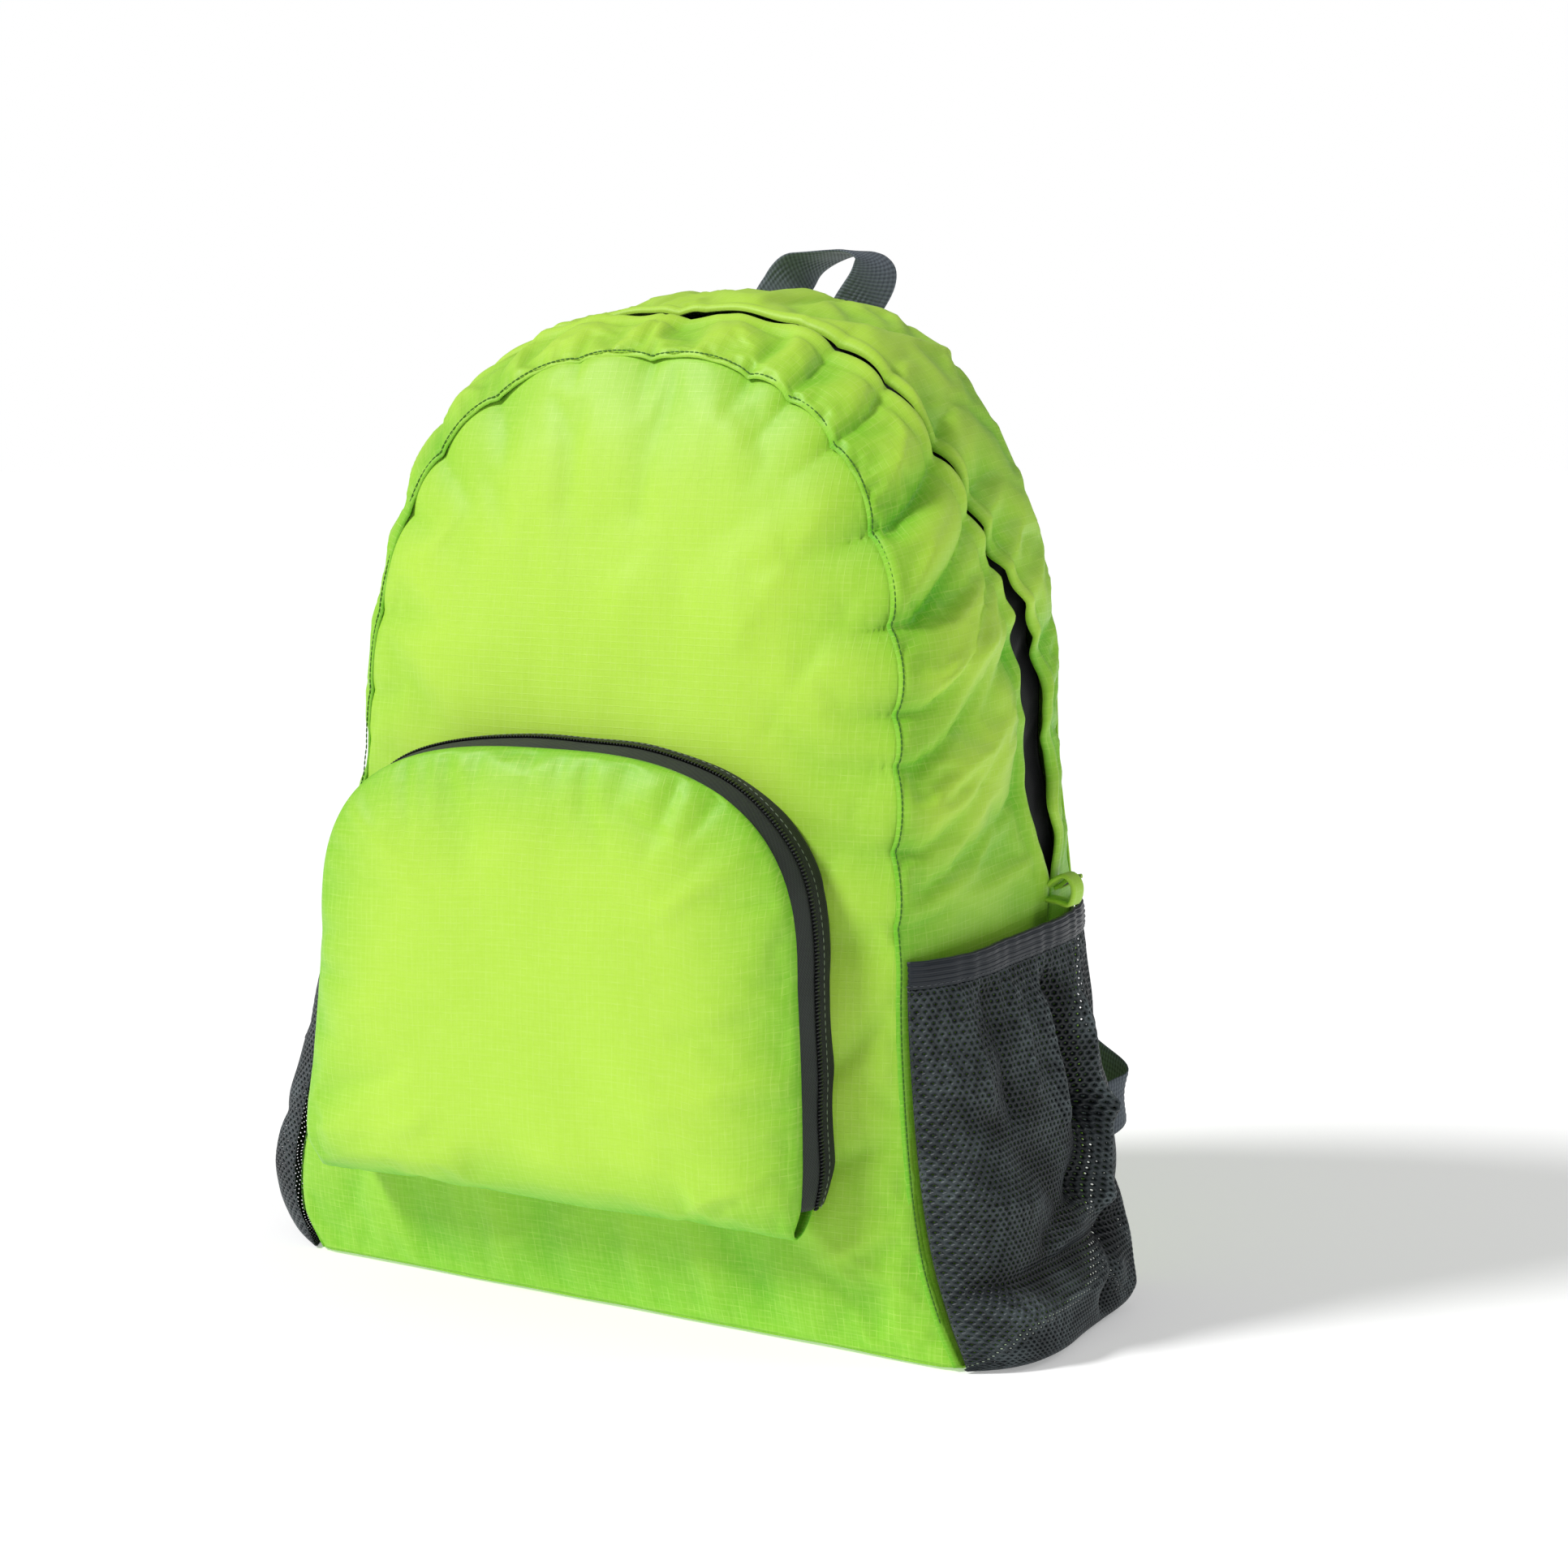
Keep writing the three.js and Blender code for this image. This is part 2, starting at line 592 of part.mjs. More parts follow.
// Zipped front pocket: a crowned face, the zip tape round its edge and a fold below.
const pocketSeam = seam({
  centre: pocketCentre,
  half: pocketHalf,
  foot: pocketSides,
  base: pocketFoot,
  shoulder: pocketShoulder,
  top: pocketTop,
  power: pocketArch,
  depth: () => frontY - pocketStandoff,
});
const pocketEdge = (x) => frontY - pocketStandoff + (pocketSkew * (x - pocketCentre)) / pocketHalf;
const pocketAt = insideSeam(pocketSeam, 0.34);
const underRows = 3;
const faceRows = 14;
const flatHem = 40; // the face is nearly as full at its lower edge as in its middle
add("pocket_face", shell(faceRows, faceRows + underRows, (u, v) => {
  const row = v * (faceRows + underRows) - underRows;
  if (row >= 0) {
    const p = pocketAt(u, row / faceRows);
    return p.setY(pocketEdge(p.x) - pocketCrown * fullness(pocketSeam, p.x, p.z, flatHem) ** 0.8);
  }
  const p = pocketAt(u, 0);
  const back = -row / underRows;
  p.x = pocketCentre + (p.x - pocketCentre) * (1 - (gap + tapeWall) / pocketHalf);
  p.z += pocketLift * back * back - (gap + tapeWall) * (1 - back);
  const y = frontFace(p.x, p.z) - gap - tapeWall;
  return p.setY(pocketEdge(p.x) + (y - pocketEdge(p.x)) * back);
}, cloth, () => vector(0, -1, 0.2)), lime);

const tapeY = (p, back) => {
  const front = pocketEdge(p.x) + cloth + gap;
  return front + (frontFace(p.x, p.z) - 2 * gap - front) * back;
};
const tapeSteps = 44;
const tapeEnd = 0.02; // share of the pocket's seam below each end of its tape
const tapeT = (v) => tapeEnd + v * (1 - 2 * tapeEnd);
const pocketHint = (p) => vector(p.x - pocketCentre, 0, p.z - pocketShoulder);
add("pocket_zip_tape", shell(2, tapeSteps, (u, v) => {
  const p = pocketSeam.at(tapeT(v));
  return p.setY(tapeY(p, u));
}, tapeWall, pocketHint), tapeGrey);

add("pocket_zip_coil", coil(tapeSteps, (v) => {
  const t = tapeT(v);
  const p = pocketSeam.at(t);
  return p.setY(tapeY(p, 0.5)).addScaledVector(pocketSeam.out(t), gap);
}, (v) => pocketSeam.out(tapeT(v))), black);

// Both sliders stand at the left ends of their zips.
const zipReach = sliderLength + pullLength + gap;
const mainEnd = (v) => 1 - zipT - (tabWidth + v * zipReach) / frontSeam.length;
const onFlap = (v) => sideFace(zipAcross(mainEnd(v)), mainEnd(v));
slider("main_zip", onFlap(1), onFlap(0), sideNormal(zipAcross(mainEnd(0.5)), mainEnd(0.5)));

const pocketEnd = (v) => 1 - tapeT(0) - (tabWidth + v * zipReach) / pocketSeam.length;
const onCoil = (v) => {
  const p = pocketSeam.at(pocketEnd(v));
  return p.setY(tapeY(p, 0.5)).addScaledVector(pocketSeam.out(pocketEnd(v)), gap + coilHeight);
};
slider("pocket_zip", onCoil(1), onCoil(0), pocketSeam.out(pocketEnd(0.5)));

// Net side pockets with an elastic band along the top, drawn from their inner faces.
function netFace(side, across, height, bulge, fold) {
  const z = netFoot + height * (netTop - netFoot - netSlope * (1 - across));
  const t = (z - baseZ) / frontSeam.length;
  const p = sideFace(across, side > 0 ? t : 1 - t);
  const blunt = 1 - Math.abs(2 * across - 1) ** 6;
  p.x += side * (gap + blunt * (bulge * netBulge[side > 0 ? "right" : "left"] + fold));
  return p.setZ(z);
}

for (const [name, side] of [["right", 1], ["left", -1]]) {
  const outward = () => vector(side, 0, 0);
  const edge = frontEdge / bodyDepth;
  add(`net_pocket_${name}`, shell(sideColumns, 13, (u, v) => {
    const across = edge + u * (1 - 2 * edge);
    const [height, bulge] = ["height", "bulge"].map((column) => read(netProfile, "along", column, v));
    const fold = foldAt(netFolds, "along", across, v, bodyDepth, netTop);
    return netFace(side, across, height, bulge, fold * clamp(v * 6, 0, 1));
  }, -meshWall, outward), charcoal, 0.9);
  add(`net_band_${name}`, shell(sideColumns, 1, (u, v) => {
    const across = edge + u * (1 - 2 * edge);
    const height = 1 + (2 * gap + v * bandHeight) / (netTop - netFoot);
    return netFace(side, across, height, netProfile[netProfile.length - 1].bulge, 0);
  }, -bandWall, outward), charcoal, 0.9);
}

// Webbing along a smooth path. Each row gives a point and how far the web has turned from
// lying flat against the back.
function web(steps, rows, place, turned, width, thick) {
  const curve = new THREE.CatmullRomCurve3(rows.map(place));
  const stations = [];
  for (let i = 0; i <= steps; i += 1) {
    const u = i / steps;
    const along = curve.getTangent(u);
    const row = u * (rows.length - 1);
    const k = Math.min(Math.floor(row), rows.length - 2);
    const turn = THREE.MathUtils.lerp(rows[k].turn, rows[k + 1].turn, row - k);
    const across = turned(turn);
    across.addScaledVector(along, -across.dot(along)).normalize();
    stations.push({ at: curve.getPoint(u), across, up: along.clone().cross(across) });
  }
  const ring = [[-0.5, -0.5], [0.5, -0.5], [0.5, 0.5], [-0.5, 0.5]];
  return sweep(stations, ring.map(([a, b]) => [a * width, b * thick]));
}

const handleMiddle = 20;
const quarter = Math.PI / 2;
add("carry_handle", web(30, handlePath, (row) => {
  const x = handleMiddle + row.across * handleSpan;
  const z = backHeight + row.up * handleRise;
  return vector(x, backSeam.depth(backHeight) + gap + webbing + row.back * handleWidth, z);
}, (turn) => vector(Math.cos(turn * quarter), Math.sin(turn * quarter), 0), handleWidth, webbing), charcoal, 0.7);

for (const [name, side] of [["right", 1], ["left", -1]]) {
  const steps = 18;
  const stations = [];
  for (let i = 0; i <= steps; i += 1) {
    const along = i / steps;
    const [across, bow, width] = ["across", "bow", "width"].map((c) => read(strapPath, "along", c, along));
    const z = strapTop + (strapEnd - strapTop) * along;
    const x = side * across * backHalf;
    const y = backFace(x, z) + gap + strapThick / 2 + bow * strapStandoff;
    stations.push({ at: vector(x, y, z), across: vector(side, 0, 0), up: vector(0, 1, 0), wide: width });
  }
  const ring = [[-0.5, 0.12], [-0.5, -0.12], [-0.42, -0.5], [0.42, -0.5], [0.5, -0.12], [0.5, 0.12], [0.42, 0.5], [-0.42, 0.5]];
  add(`shoulder_strap_${name}`, sweep(stations, ring.map(([a, b]) => [a * strapWidth, b * strapThick])), charcoal, 0.85);

  const end = strapPath[strapPath.length - 1];
  const buckleZ = strapEnd - gap - buckleHeight / 2;
  const buckleX = end.across * backHalf;
  const buckleY = backFace(side * buckleX, buckleZ) + gap + strapThick / 2 + end.bow * strapStandoff;
  const [w, h] = [buckleWidth / 2, buckleHeight / 2];
  const frame = new THREE.Shape([[-w, -h], [w, -h], [w, h], [-w, h]].map(([x, y]) => new THREE.Vector2(x, y)));
  const slot = (low, high) => new THREE.Path([[buckleBar - w, low], [w - buckleBar, low], [w - buckleBar, high], [buckleBar - w, high]]
    .map(([x, y]) => new THREE.Vector2(x, y)));
  frame.holes.push(slot(buckleBar - h, -buckleBar / 2), slot(buckleBar / 2, h - buckleBar));
  const lock = new THREE.ExtrudeGeometry(frame, { depth: buckleThick, bevelEnabled: false });
  lock.translate(0, 0, -buckleThick / 2).rotateX(quarter).translate(side * buckleX, buckleY, buckleZ);
  add(`strap_buckle_${name}`, lock, black, 0.5);

  add(`strap_webbing_${name}`, web(24, webPath, (row) => {
    const [x, z] = [side * row.across * backHalf, row.up * (buckleZ - buckleHeight / 2 - gap)];
    return vector(x, backFace(x, z) + gap + webbing / 2 + row.bow * strapStandoff, z);
  }, (turn) => vector(side * Math.cos(turn * quarter), 0, Math.sin(turn * quarter)), webWidth, webbing), charcoal, 0.7);
}

export default group;
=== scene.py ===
import json
import math
import time
import bmesh
import bpy
import numpy as np
from mathutils import Matrix, Vector
from mathutils.kdtree import KDTree

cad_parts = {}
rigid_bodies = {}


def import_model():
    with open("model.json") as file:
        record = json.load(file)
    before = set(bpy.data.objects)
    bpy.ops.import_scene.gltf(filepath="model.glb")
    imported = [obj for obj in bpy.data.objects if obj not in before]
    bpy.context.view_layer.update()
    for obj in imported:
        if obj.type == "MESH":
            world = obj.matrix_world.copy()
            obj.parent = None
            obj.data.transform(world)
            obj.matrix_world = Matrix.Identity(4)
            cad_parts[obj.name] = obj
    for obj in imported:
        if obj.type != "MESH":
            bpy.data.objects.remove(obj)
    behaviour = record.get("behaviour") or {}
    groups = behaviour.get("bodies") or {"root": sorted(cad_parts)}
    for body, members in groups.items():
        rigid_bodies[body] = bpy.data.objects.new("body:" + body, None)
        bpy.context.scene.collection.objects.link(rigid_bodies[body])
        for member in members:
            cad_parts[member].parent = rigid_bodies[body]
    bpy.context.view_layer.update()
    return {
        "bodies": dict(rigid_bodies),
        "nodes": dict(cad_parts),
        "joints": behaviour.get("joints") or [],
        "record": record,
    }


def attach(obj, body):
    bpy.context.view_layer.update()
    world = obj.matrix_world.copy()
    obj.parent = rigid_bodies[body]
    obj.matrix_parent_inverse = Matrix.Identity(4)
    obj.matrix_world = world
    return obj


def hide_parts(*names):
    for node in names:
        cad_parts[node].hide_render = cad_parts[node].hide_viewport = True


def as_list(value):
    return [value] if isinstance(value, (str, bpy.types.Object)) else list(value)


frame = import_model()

mm = 0.001
print("frame loaded")

# Lengths are in mm in the tables and in metres once a mesh is made. +Z is up and the zipped
# front pocket looks towards -Y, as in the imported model.
body = {
    "gap": 1.8,  # from a seam to the next panel's edge
    "frontHeight": 417, "backHeight": 442, "shoulder": 240,
    "frontHalf": 139, "backHalf": 145, "frontY": -64, "backY": 78,
    "frontLean": 22, "backLean": 6,
    "frontArch": (2.5, 2.5), "backArch": (2.25, 2.6),  # right, left
    "sidePuff": 8, "frontCrown": 13, "backCrown": 5,
    "zipStart": 179, "zipWidth": 26,
}
# height up to the shoulder, then the half width to the right and to the left, all as shares
frontFoot = [(0, 1.225, 1.22), (0.07, 1.165, 1.29), (0.18, 1.1, 1.29), (0.33, 1.058, 1.22),
             (0.54, 1.029, 1.15), (0.71, 1.02, 1.09), (1, 1, 1)]
backFoot = [(0, 1.13, 1.17), (0.2, 1.105, 1.18), (0.45, 1.08, 1.14), (0.73, 1.055, 1.07), (1, 1, 1)]
pocketSides = [(0, 0.985, 1.06), (0.12, 1.015, 1.12), (0.5, 1.018, 1.08), (1, 1, 1.03)]
# along half the seam, across from front to back, how full the side is there
zipLine = [(0, 0.76, 0.4), (0.15, 0.76, 0.45), (0.28, 0.76, 0.9), (0.36, 0.75, 1.05), (0.42, 0.7, 1.1),
           (0.5, 0.68, 1.25), (0.57, 0.63, 1.35), (0.64, 0.5, 1.5), (0.7, 0.39, 1.7), (0.76, 0.3, 1.85),
           (0.84, 0.27, 1.8), (0.92, 0.29, 1.3), (1, 0.27, 1)]


# Smooth reading of one column of a table at values of its first column.
def readTable(rows, column, value):
    table = np.array(rows, float)
    x, y = table[:, 0], table[:, column]
    slope = np.empty(len(x))
    slope[1:-1] = (y[2:] - y[:-2]) / (x[2:] - x[:-2])
    slope[0], slope[-1] = (y[1] - y[0]) / (x[1] - x[0]), (y[-1] - y[-2]) / (x[-1] - x[-2])
    v = np.clip(value, x[0], x[-1])
    i = np.clip(np.searchsorted(x, v) - 1, 0, len(x) - 2)
    span = x[i + 1] - x[i]
    u = (v - x[i]) / span
    a, b, da, db = y[i], y[i + 1], slope[i] * span, slope[i + 1] * span
    return a + u * (da + u * (3 * (b - a) - 2 * da - db + u * (2 * (a - b) + da + db)))


def unit(v):
    return v / np.maximum(np.linalg.norm(v, axis=-1, keepdims=True), 1e-9)


# From a to b at the share u.
def mix(a, b, u):
    return a + (b - a) * u


# Rises from 0 at low to 1 at high, without a kink.
def smooth(low, high, value):
    u = np.clip((value - low) / (high - low), 0, 1)
    return u * u * (3 - 2 * u)


def stack(x, y, z):
    return np.stack(np.broadcast_arrays(x, y, z), axis=-1).astype(float)


# A seam over the bag: up one side from the floor, over the arch and down the other side.
class Seam:
    def __init__(self, centre, half, foot, base, shoulder, top, power, depth):
        self.centre, self.half, self.foot, self.base = centre, half, foot, base
        self.shoulder, self.top, self.power, self.depth = shoulder, top, power, depth
        rise = np.linspace(base, shoulder, 121)
        turn = np.linspace(0, math.pi, 481)[1:-1]
        c, s = np.cos(turn), np.sin(turn)
        power = np.where(c > 0, self.power[0], self.power[1])
        ends = np.where(c > 0, foot[-1][1], foot[-1][2])
        x = np.sign(c) * half * ends * np.abs(c) ** (2 / power)
        z = shoulder + (top - shoulder) * s ** (2 / power)
        x = np.concatenate([self.halfAt(rise, 0), x, -self.halfAt(rise[::-1], 1)])
        z = np.concatenate([rise, z, rise[::-1]])
        self.points = stack(centre + x, depth(z), z)
        steps = np.linalg.norm(np.diff(self.points, axis=0), axis=1)
        self.lengths = np.concatenate([[0], np.cumsum(steps)])
        self.length = self.lengths[-1]

    def halfAt(self, z, side):
        share = np.clip((z - self.base) / (self.shoulder - self.base), 0, 1)
        low = self.half * readTable(self.foot, side + 1, share)
        rise = np.clip((z - self.shoulder) / (self.top - self.shoulder), 0, 1)
        power = self.power[side]
        high = self.half * self.foot[-1][side + 1] * (1 - rise ** power) ** (1 / power)
        return np.where(z <= self.shoulder, low, high)

    def at(self, t):
        want = np.clip(t, 0, 1) * self.length
        return np.stack([np.interp(want, self.lengths, self.points[:, k]) for k in range(3)], axis=-1)

    def out(self, t, step=0.01):
        d = self.at(t + step) - self.at(t - step)
        return unit(stack(d[..., 2], 0 * d[..., 0], -d[..., 0]))

    # how full a panel is: nothing on its seam, all of it in the middle
    def fullness(self, x, z, hem=14):
        side = np.where(x > self.centre, self.halfAt(z, 0), self.halfAt(z, 1))
        u = np.clip(np.abs(x - self.centre) / np.maximum(side, 1), 0, 1)
        v = np.clip((z - self.base) / (self.top - self.base), 0, 1)
        return (1 - u ** 4) * (1 - v ** 8) * (1 - (1 - v) ** hem)

    # a point of the panel inside the seam; the grid's corners lie part way up the arch
    def inside(self, u, v, corner):
        u, v = np.broadcast_arrays(u, v)
        foot = [self.at(np.array(t)) for t in (1.0, 0.0, corner, 1 - corner)]
        left, right = self.at(1 - corner * v), self.at(corner * v)
        over = self.at(1 - corner - u * (1 - 2 * corner))
        u, v = u[..., None], v[..., None]
        under = mix(foot[0], foot[1], u)
        flat = mix(under, mix(foot[3], foot[2], u), v)
        return mix(left, right, u) + mix(under, over, v) - flat


# How far a seam leans in on its way up from half the shoulder's height.
def leanAt(z, top, amount):
    return amount * np.clip((z - body["shoulder"] / 2) / (top - body["shoulder"] / 2), 0, 1) ** 2


baseZ = 1.8  # where the walls begin, above the bottom
frontSeam = Seam(0, body["frontHalf"], frontFoot, baseZ, body["shoulder"], body["frontHeight"],
                 body["frontArch"],
                 lambda z: body["frontY"] + leanAt(z, body["frontHeight"], body["frontLean"]))
backSeam = Seam(0, body["backHalf"], backFoot, baseZ, body["shoulder"], body["backHeight"],
                body["backArch"],
                lambda z: body["backY"] - leanAt(z, body["backHeight"], body["backLean"]))


# Smooth, seeded unevenness of a surface, from -1 to 1.
def uneven(x, y, size, seed, waves=7):
    draw = np.random.RandomState(seed)
    total = 0
    for k in range(waves):
        angle, phase = draw.uniform(0, math.pi), draw.uniform(0, 2 * math.pi)
        scale = 2 * math.pi / (size * draw.uniform(0.6, 1.6))
        total = total + np.sin((x * math.cos(angle) + y * math.sin(angle)) * scale + phase)
    return total / waves ** 0.5 / 1.5


# How far the simulated cloth moved each panel, read smoothly at a place on its grid.
settled = {}


def settle(name, u, v):
    if name not in settled:
        return 0.0
    move = settled[name]
    rows, columns = move.shape[0] - 1, move.shape[1] - 1
    u, v = np.broadcast_arrays(u, v)
    x, y = np.clip(u, 0, 1) * columns, np.clip(v, 0, 1) * rows
    i, j = np.minimum(x.astype(int), columns - 1), np.minimum(y.astype(int), rows - 1)
    x, y = (x - i)[..., None], (y - j)[..., None]

    def weights(s):
        return ((-s + 2 * s * s - s ** 3) / 2, (2 - 5 * s * s + 3 * s ** 3) / 2,
                (s + 4 * s * s - 3 * s ** 3) / 2, (s ** 3 - s * s) / 2)
    total = 0
    for a, wy in zip(range(-1, 3), weights(y)):
        for b, wx in zip(range(-1, 3), weights(x)):
            total = total + wx * wy * move[np.clip(j + a, 0, rows), np.clip(i + b, 0, columns)]
    return total


# Crumpled cloth: sharp crests between shallow hollows, from -0.6 to 0.4.
def crumple(x, y, size, seed):
    return 0.4 - np.sqrt(uneven(x, y, size, seed) ** 2 + 0.003)


# Folds drawn as lines on a surface, each from one point to another: a, b, a, b, width, depth.
def foldAt(folds, a, b):
    total = 0
    for a1, b1, a2, b2, width, depth in folds:
        dx, dz, px, pz = a2 - a1, b2 - b1, a - a1, b - b1
        long = math.hypot(dx, dz)
        along = (px * dx + pz * dz) / long / long
        off = (px * dz - pz * dx) / long / width
        past = np.maximum(0, np.maximum(-along, along - 1)) * long / width
        total = total + depth * np.exp(0.3 - 1.35 * np.sqrt(off * off + 0.05) - past * past)
    return total


# The puckers along the front seam: where each sits on the seam, how far it pulls the seam in,
# how far it runs back over the side, how it leans up on its way, how proud the cloth is past it.
puckers = [
    (0.150, 0.6, 30, 0.000, 1.6), (0.1830, 2.6, 60, 0.020, 3.6), (0.2135, 5.0, 96, 0.040, 5.4),
    (0.2475, 3.4, 72, 0.048, 4.2), (0.2690, 5.6, 104, 0.056, 7.4), (0.3050, 6.8, 100, 0.058, 8.0),
    (0.3450, 7.4, 92, 0.050, 6.6), (0.3870, 4.6, 66, 0.032, 5.4), (0.4180, 5.0, 54, 0.012, 4.8),
    (0.4405, 5.6, 52, -0.003, 5.0), (0.4920, 4.4, 50, -0.010, 4.2), (0.5300, 1.8, 40, -0.012, 3.2),
    (0.5770, 5.0, 50, -0.016, 4.6), (0.6160, 4.2, 52, -0.020, 4.4), (0.6475, 3.4, 60, -0.024, 4.6),
    (0.6950, 4.0, 70, -0.026, 5.2), (0.7310, 3.8, 76, -0.028, 5.0), (0.7680, 3.4, 70, -0.022, 4.2),
    (0.8150, 2.4, 52, -0.010, 3.0), (0.8500, 0.6, 30, 0.000, 1.4),
]


# How proud the side stands at t along the seam and d mm behind it, between the puckers.
def puckerAt(t, d):
    rows = np.array(puckers)
    total = np.zeros(np.broadcast(t, d).shape)
    lean = np.interp(t, rows[:, 0], rows[:, 3])
    tt = t - lean * smooth(4, 90, d)
    k = np.clip(np.searchsorted(rows[:, 0], tt) - 1, 0, len(rows) - 2)
    inside = (tt > rows[0, 0]) & (tt < rows[-1, 0])
    share = np.clip((tt - rows[k, 0]) / (rows[k + 1, 0] - rows[k, 0]), 0, 1)
    reach = mix(rows[k, 2], rows[k + 1, 2], share)
    crest = np.sin(math.pi * share ** 0.9) ** 0.75 * rows[k, 4]
    pull = mix(rows[k, 1], rows[k + 1, 1], smooth(0, 1, share))
    fade = np.exp(-(d / reach) ** 2 * 1.6)
    total = (crest * (0.35 + 0.65 * smooth(0, 14, d)) - pull * (0.3 + 0.7 * np.exp(-d / 20))) * fade
    return np.where(inside, total * leftCalm(t), 0)


# The left side is drawn in less than the right one.
def leftCalm(t):
    return 1 - 0.6 * smooth(0.60, 0.68, t)


# How far the seam itself wanders: it is drawn in at each pucker and swells out between two.
def wanderAt(t):
    rows = np.array(puckers)
    k = np.clip(np.searchsorted(rows[:, 0], t) - 1, 0, len(rows) - 2)
    share = np.clip((t - rows[k, 0]) / (rows[k + 1, 0] - rows[k, 0]), 0, 1)
    lobe = np.sin(math.pi * share ** 0.9) ** 0.6 * rows[k, 4] * 0.62
    pull = mix(rows[k, 1], rows[k + 1, 1], smooth(0, 1, share)) * 0.42
    inside = smooth(rows[0, 0], rows[0, 0] + 0.02, t) * (1 - smooth(rows[-1, 0] - 0.02, rows[-1, 0], t))
    return (lobe - pull) * inside * leftCalm(t)


def seamWander(t):
    return frontSeam.out(t) * wanderAt(t)[..., None]


seamSteps = np.linspace(0, 1, 1201)
seamTree = {}


# The nearest place on a seam to each point, and how far off it is.
def nearSeam(line, points):
    if line not in seamTree:
        tree = KDTree(len(seamSteps))
        for k, p in enumerate(line.at(seamSteps)):
            tree.insert(Vector((p[0], 0, p[2])), k)
        tree.balance()
        seamTree[line] = tree
    flat = points.reshape(-1, 3)
    found = [seamTree[line].find(Vector((p[0], 0, p[2]))) for p in flat]
    t = seamSteps[[f[1] for f in found]].reshape(points.shape[:-1])
    return t, np.array([f[2] for f in found]).reshape(points.shape[:-1])


front = {"columns": 132, "rows": 160, "corner": 0.36, "edgeRoll": 3.2, "rollReach": 2.3}
# Soft creases of the front panel, in mm: from x, z to x, z, width, depth.
frontCreases = [
    (132, 17, 70, 67, 14, -3.6), (86, 12, 56, 54, 12, -2.4), (-132, 54, -153, 12, 13, -2.6),
    (135, 258, 111, 208, 13, -2.4), (-56, 392, -86, 334, 13, -2.0), (63, 388, 86, 334, 13, -2.0),
    (140, 150, 112, 118, 9, -1.6), (150, 96, 118, 84, 8, -1.4), (150, 60, 116, 44, 9, 1.6),
    (146, 30, 96, 58, 7, 1.3), (-120, 330, -70, 290, 12, 1.4), (20, 400, 10, 330, 10, -1.2),
    (-20, 402, -26, 350, 8, -0.9), (100, 350, 70, 300, 11, 1.3), (118, 320, 84, 262, 9, -1.1),
    (-138, 300, -96, 262, 10, -1.3), (60, 22, 20, 42, 9, 1.0), (-60, 20, -20, 40, 9, 0.9),
]


# The front with its soft creases only; the pocket stands on it.
def frontFace(x, z):
    full = frontSeam.fullness(x, z)
    creases = foldAt(frontCreases, x, z)
    return frontSeam.depth(z) - full * body["frontCrown"] - np.minimum(1, full * 2) * creases


def frontPoints(u, v):
    p = frontSeam.inside(u, v, front["corner"])
    t, d = nearSeam(frontSeam, p)
    x, z = p[..., 0].copy(), p[..., 2].copy()
    p[..., 1] = frontFace(x, z)
    low = smooth(0, 20, z)
    fine = uneven(x, z * 0.35, 26, 3) * 0.45 + uneven(x, z, 70, 4) * 0.8
    fine = fine - 0.9 * crumple(x + z * 0.3, z * 0.7, 60, 5)
    pull = puckerAt(t, np.zeros_like(t))
    p[..., 1] -= (fine * smooth(2, 30, d) + 0.8 * pull * np.exp(-(d / 20) ** 2)) * low
    p[..., 1] += front["edgeRoll"] * np.exp(-d / front["rollReach"])
    p += seamWander(t) * np.exp(-(d / 16) ** 2)[..., None]
    return p + settle("front", u, v)


# The plain back, as it bulges.
def backFace(x, z):
    return backSeam.depth(z) + backSeam.fullness(x, z) * body["backCrown"]


back = {"columns": 110, "rows": 120, "corner": 0.36}
backCreases = [
    (-112, 380, -60, 330, 12, -2.2), (112, 380, 60, 330, 12, -2.2), (0, 420, 0, 350, 10, -1.4),
    (-150, 60, -90, 110, 14, -2.4), (150, 60, 90, 110, 14, -2.4), (-20, 20, -50, 90, 13, -1.8),
    (40, 20, 60, 100, 13, -1.8), (-130, 200, -80, 190, 12, 1.8), (130, 215, 80, 200, 12, 1.8),
]


def backPoints(u, v):
    p = backSeam.inside(u, v, back["corner"])
    t, d = nearSeam(backSeam, p)
    x, z = p[..., 0].copy(), p[..., 2].copy()
    relief = foldAt(backCreases, x, z) * 0.8 + uneven(x, z, 60, 11) * 1.1 + uneven(x, z * 0.4, 26, 12) * 0.4
    p[..., 1] = backFace(x, z) + relief * smooth(2, 30, d) * smooth(0, 18, z)
    p[..., 1] -= 1.4 * np.exp(-d / 3.0)
    return p + settle("back", u, v)


side = {"rows": 540, "frontColumns": 42, "rearColumns": 30, "lipRoll": 2.4, "gap": 0.5, "crumple": 3.4}
sideDepth = body["backY"] - body["frontY"]
halfSeam = frontSeam.length / 2
# Folds of the side past the puckers, in mm: back from the seam, along from the floor, to the
# same, width, depth. They are on both sides, and the left one leaves some out.
sideCreases = [
    (6, 300, 72, 327, 11, -3.6), (8, 279, 68, 296, 10, 2.6), (6, 250, 76, 284, 12, -4.2),
    (8, 224, 70, 244, 11, 2.4), (8, 196, 78, 222, 10, -3.4), (30, 186, 96, 194, 10, 2.2),
    (20, 262, 60, 306, 9, 2.2), (34, 232, 84, 268, 8, 1.8), (88, 352, 136, 340, 10, -2.4),
    (84, 300, 132, 318, 9, 1.8), (100, 232, 134, 262, 9, -1.8), (104, 278, 138, 292, 8, -1.6),
    (60, 392, 118, 372, 9, -1.6), (70, 424, 122, 408, 8, 1.6), (66, 470, 128, 458, 9, -1.6),
]
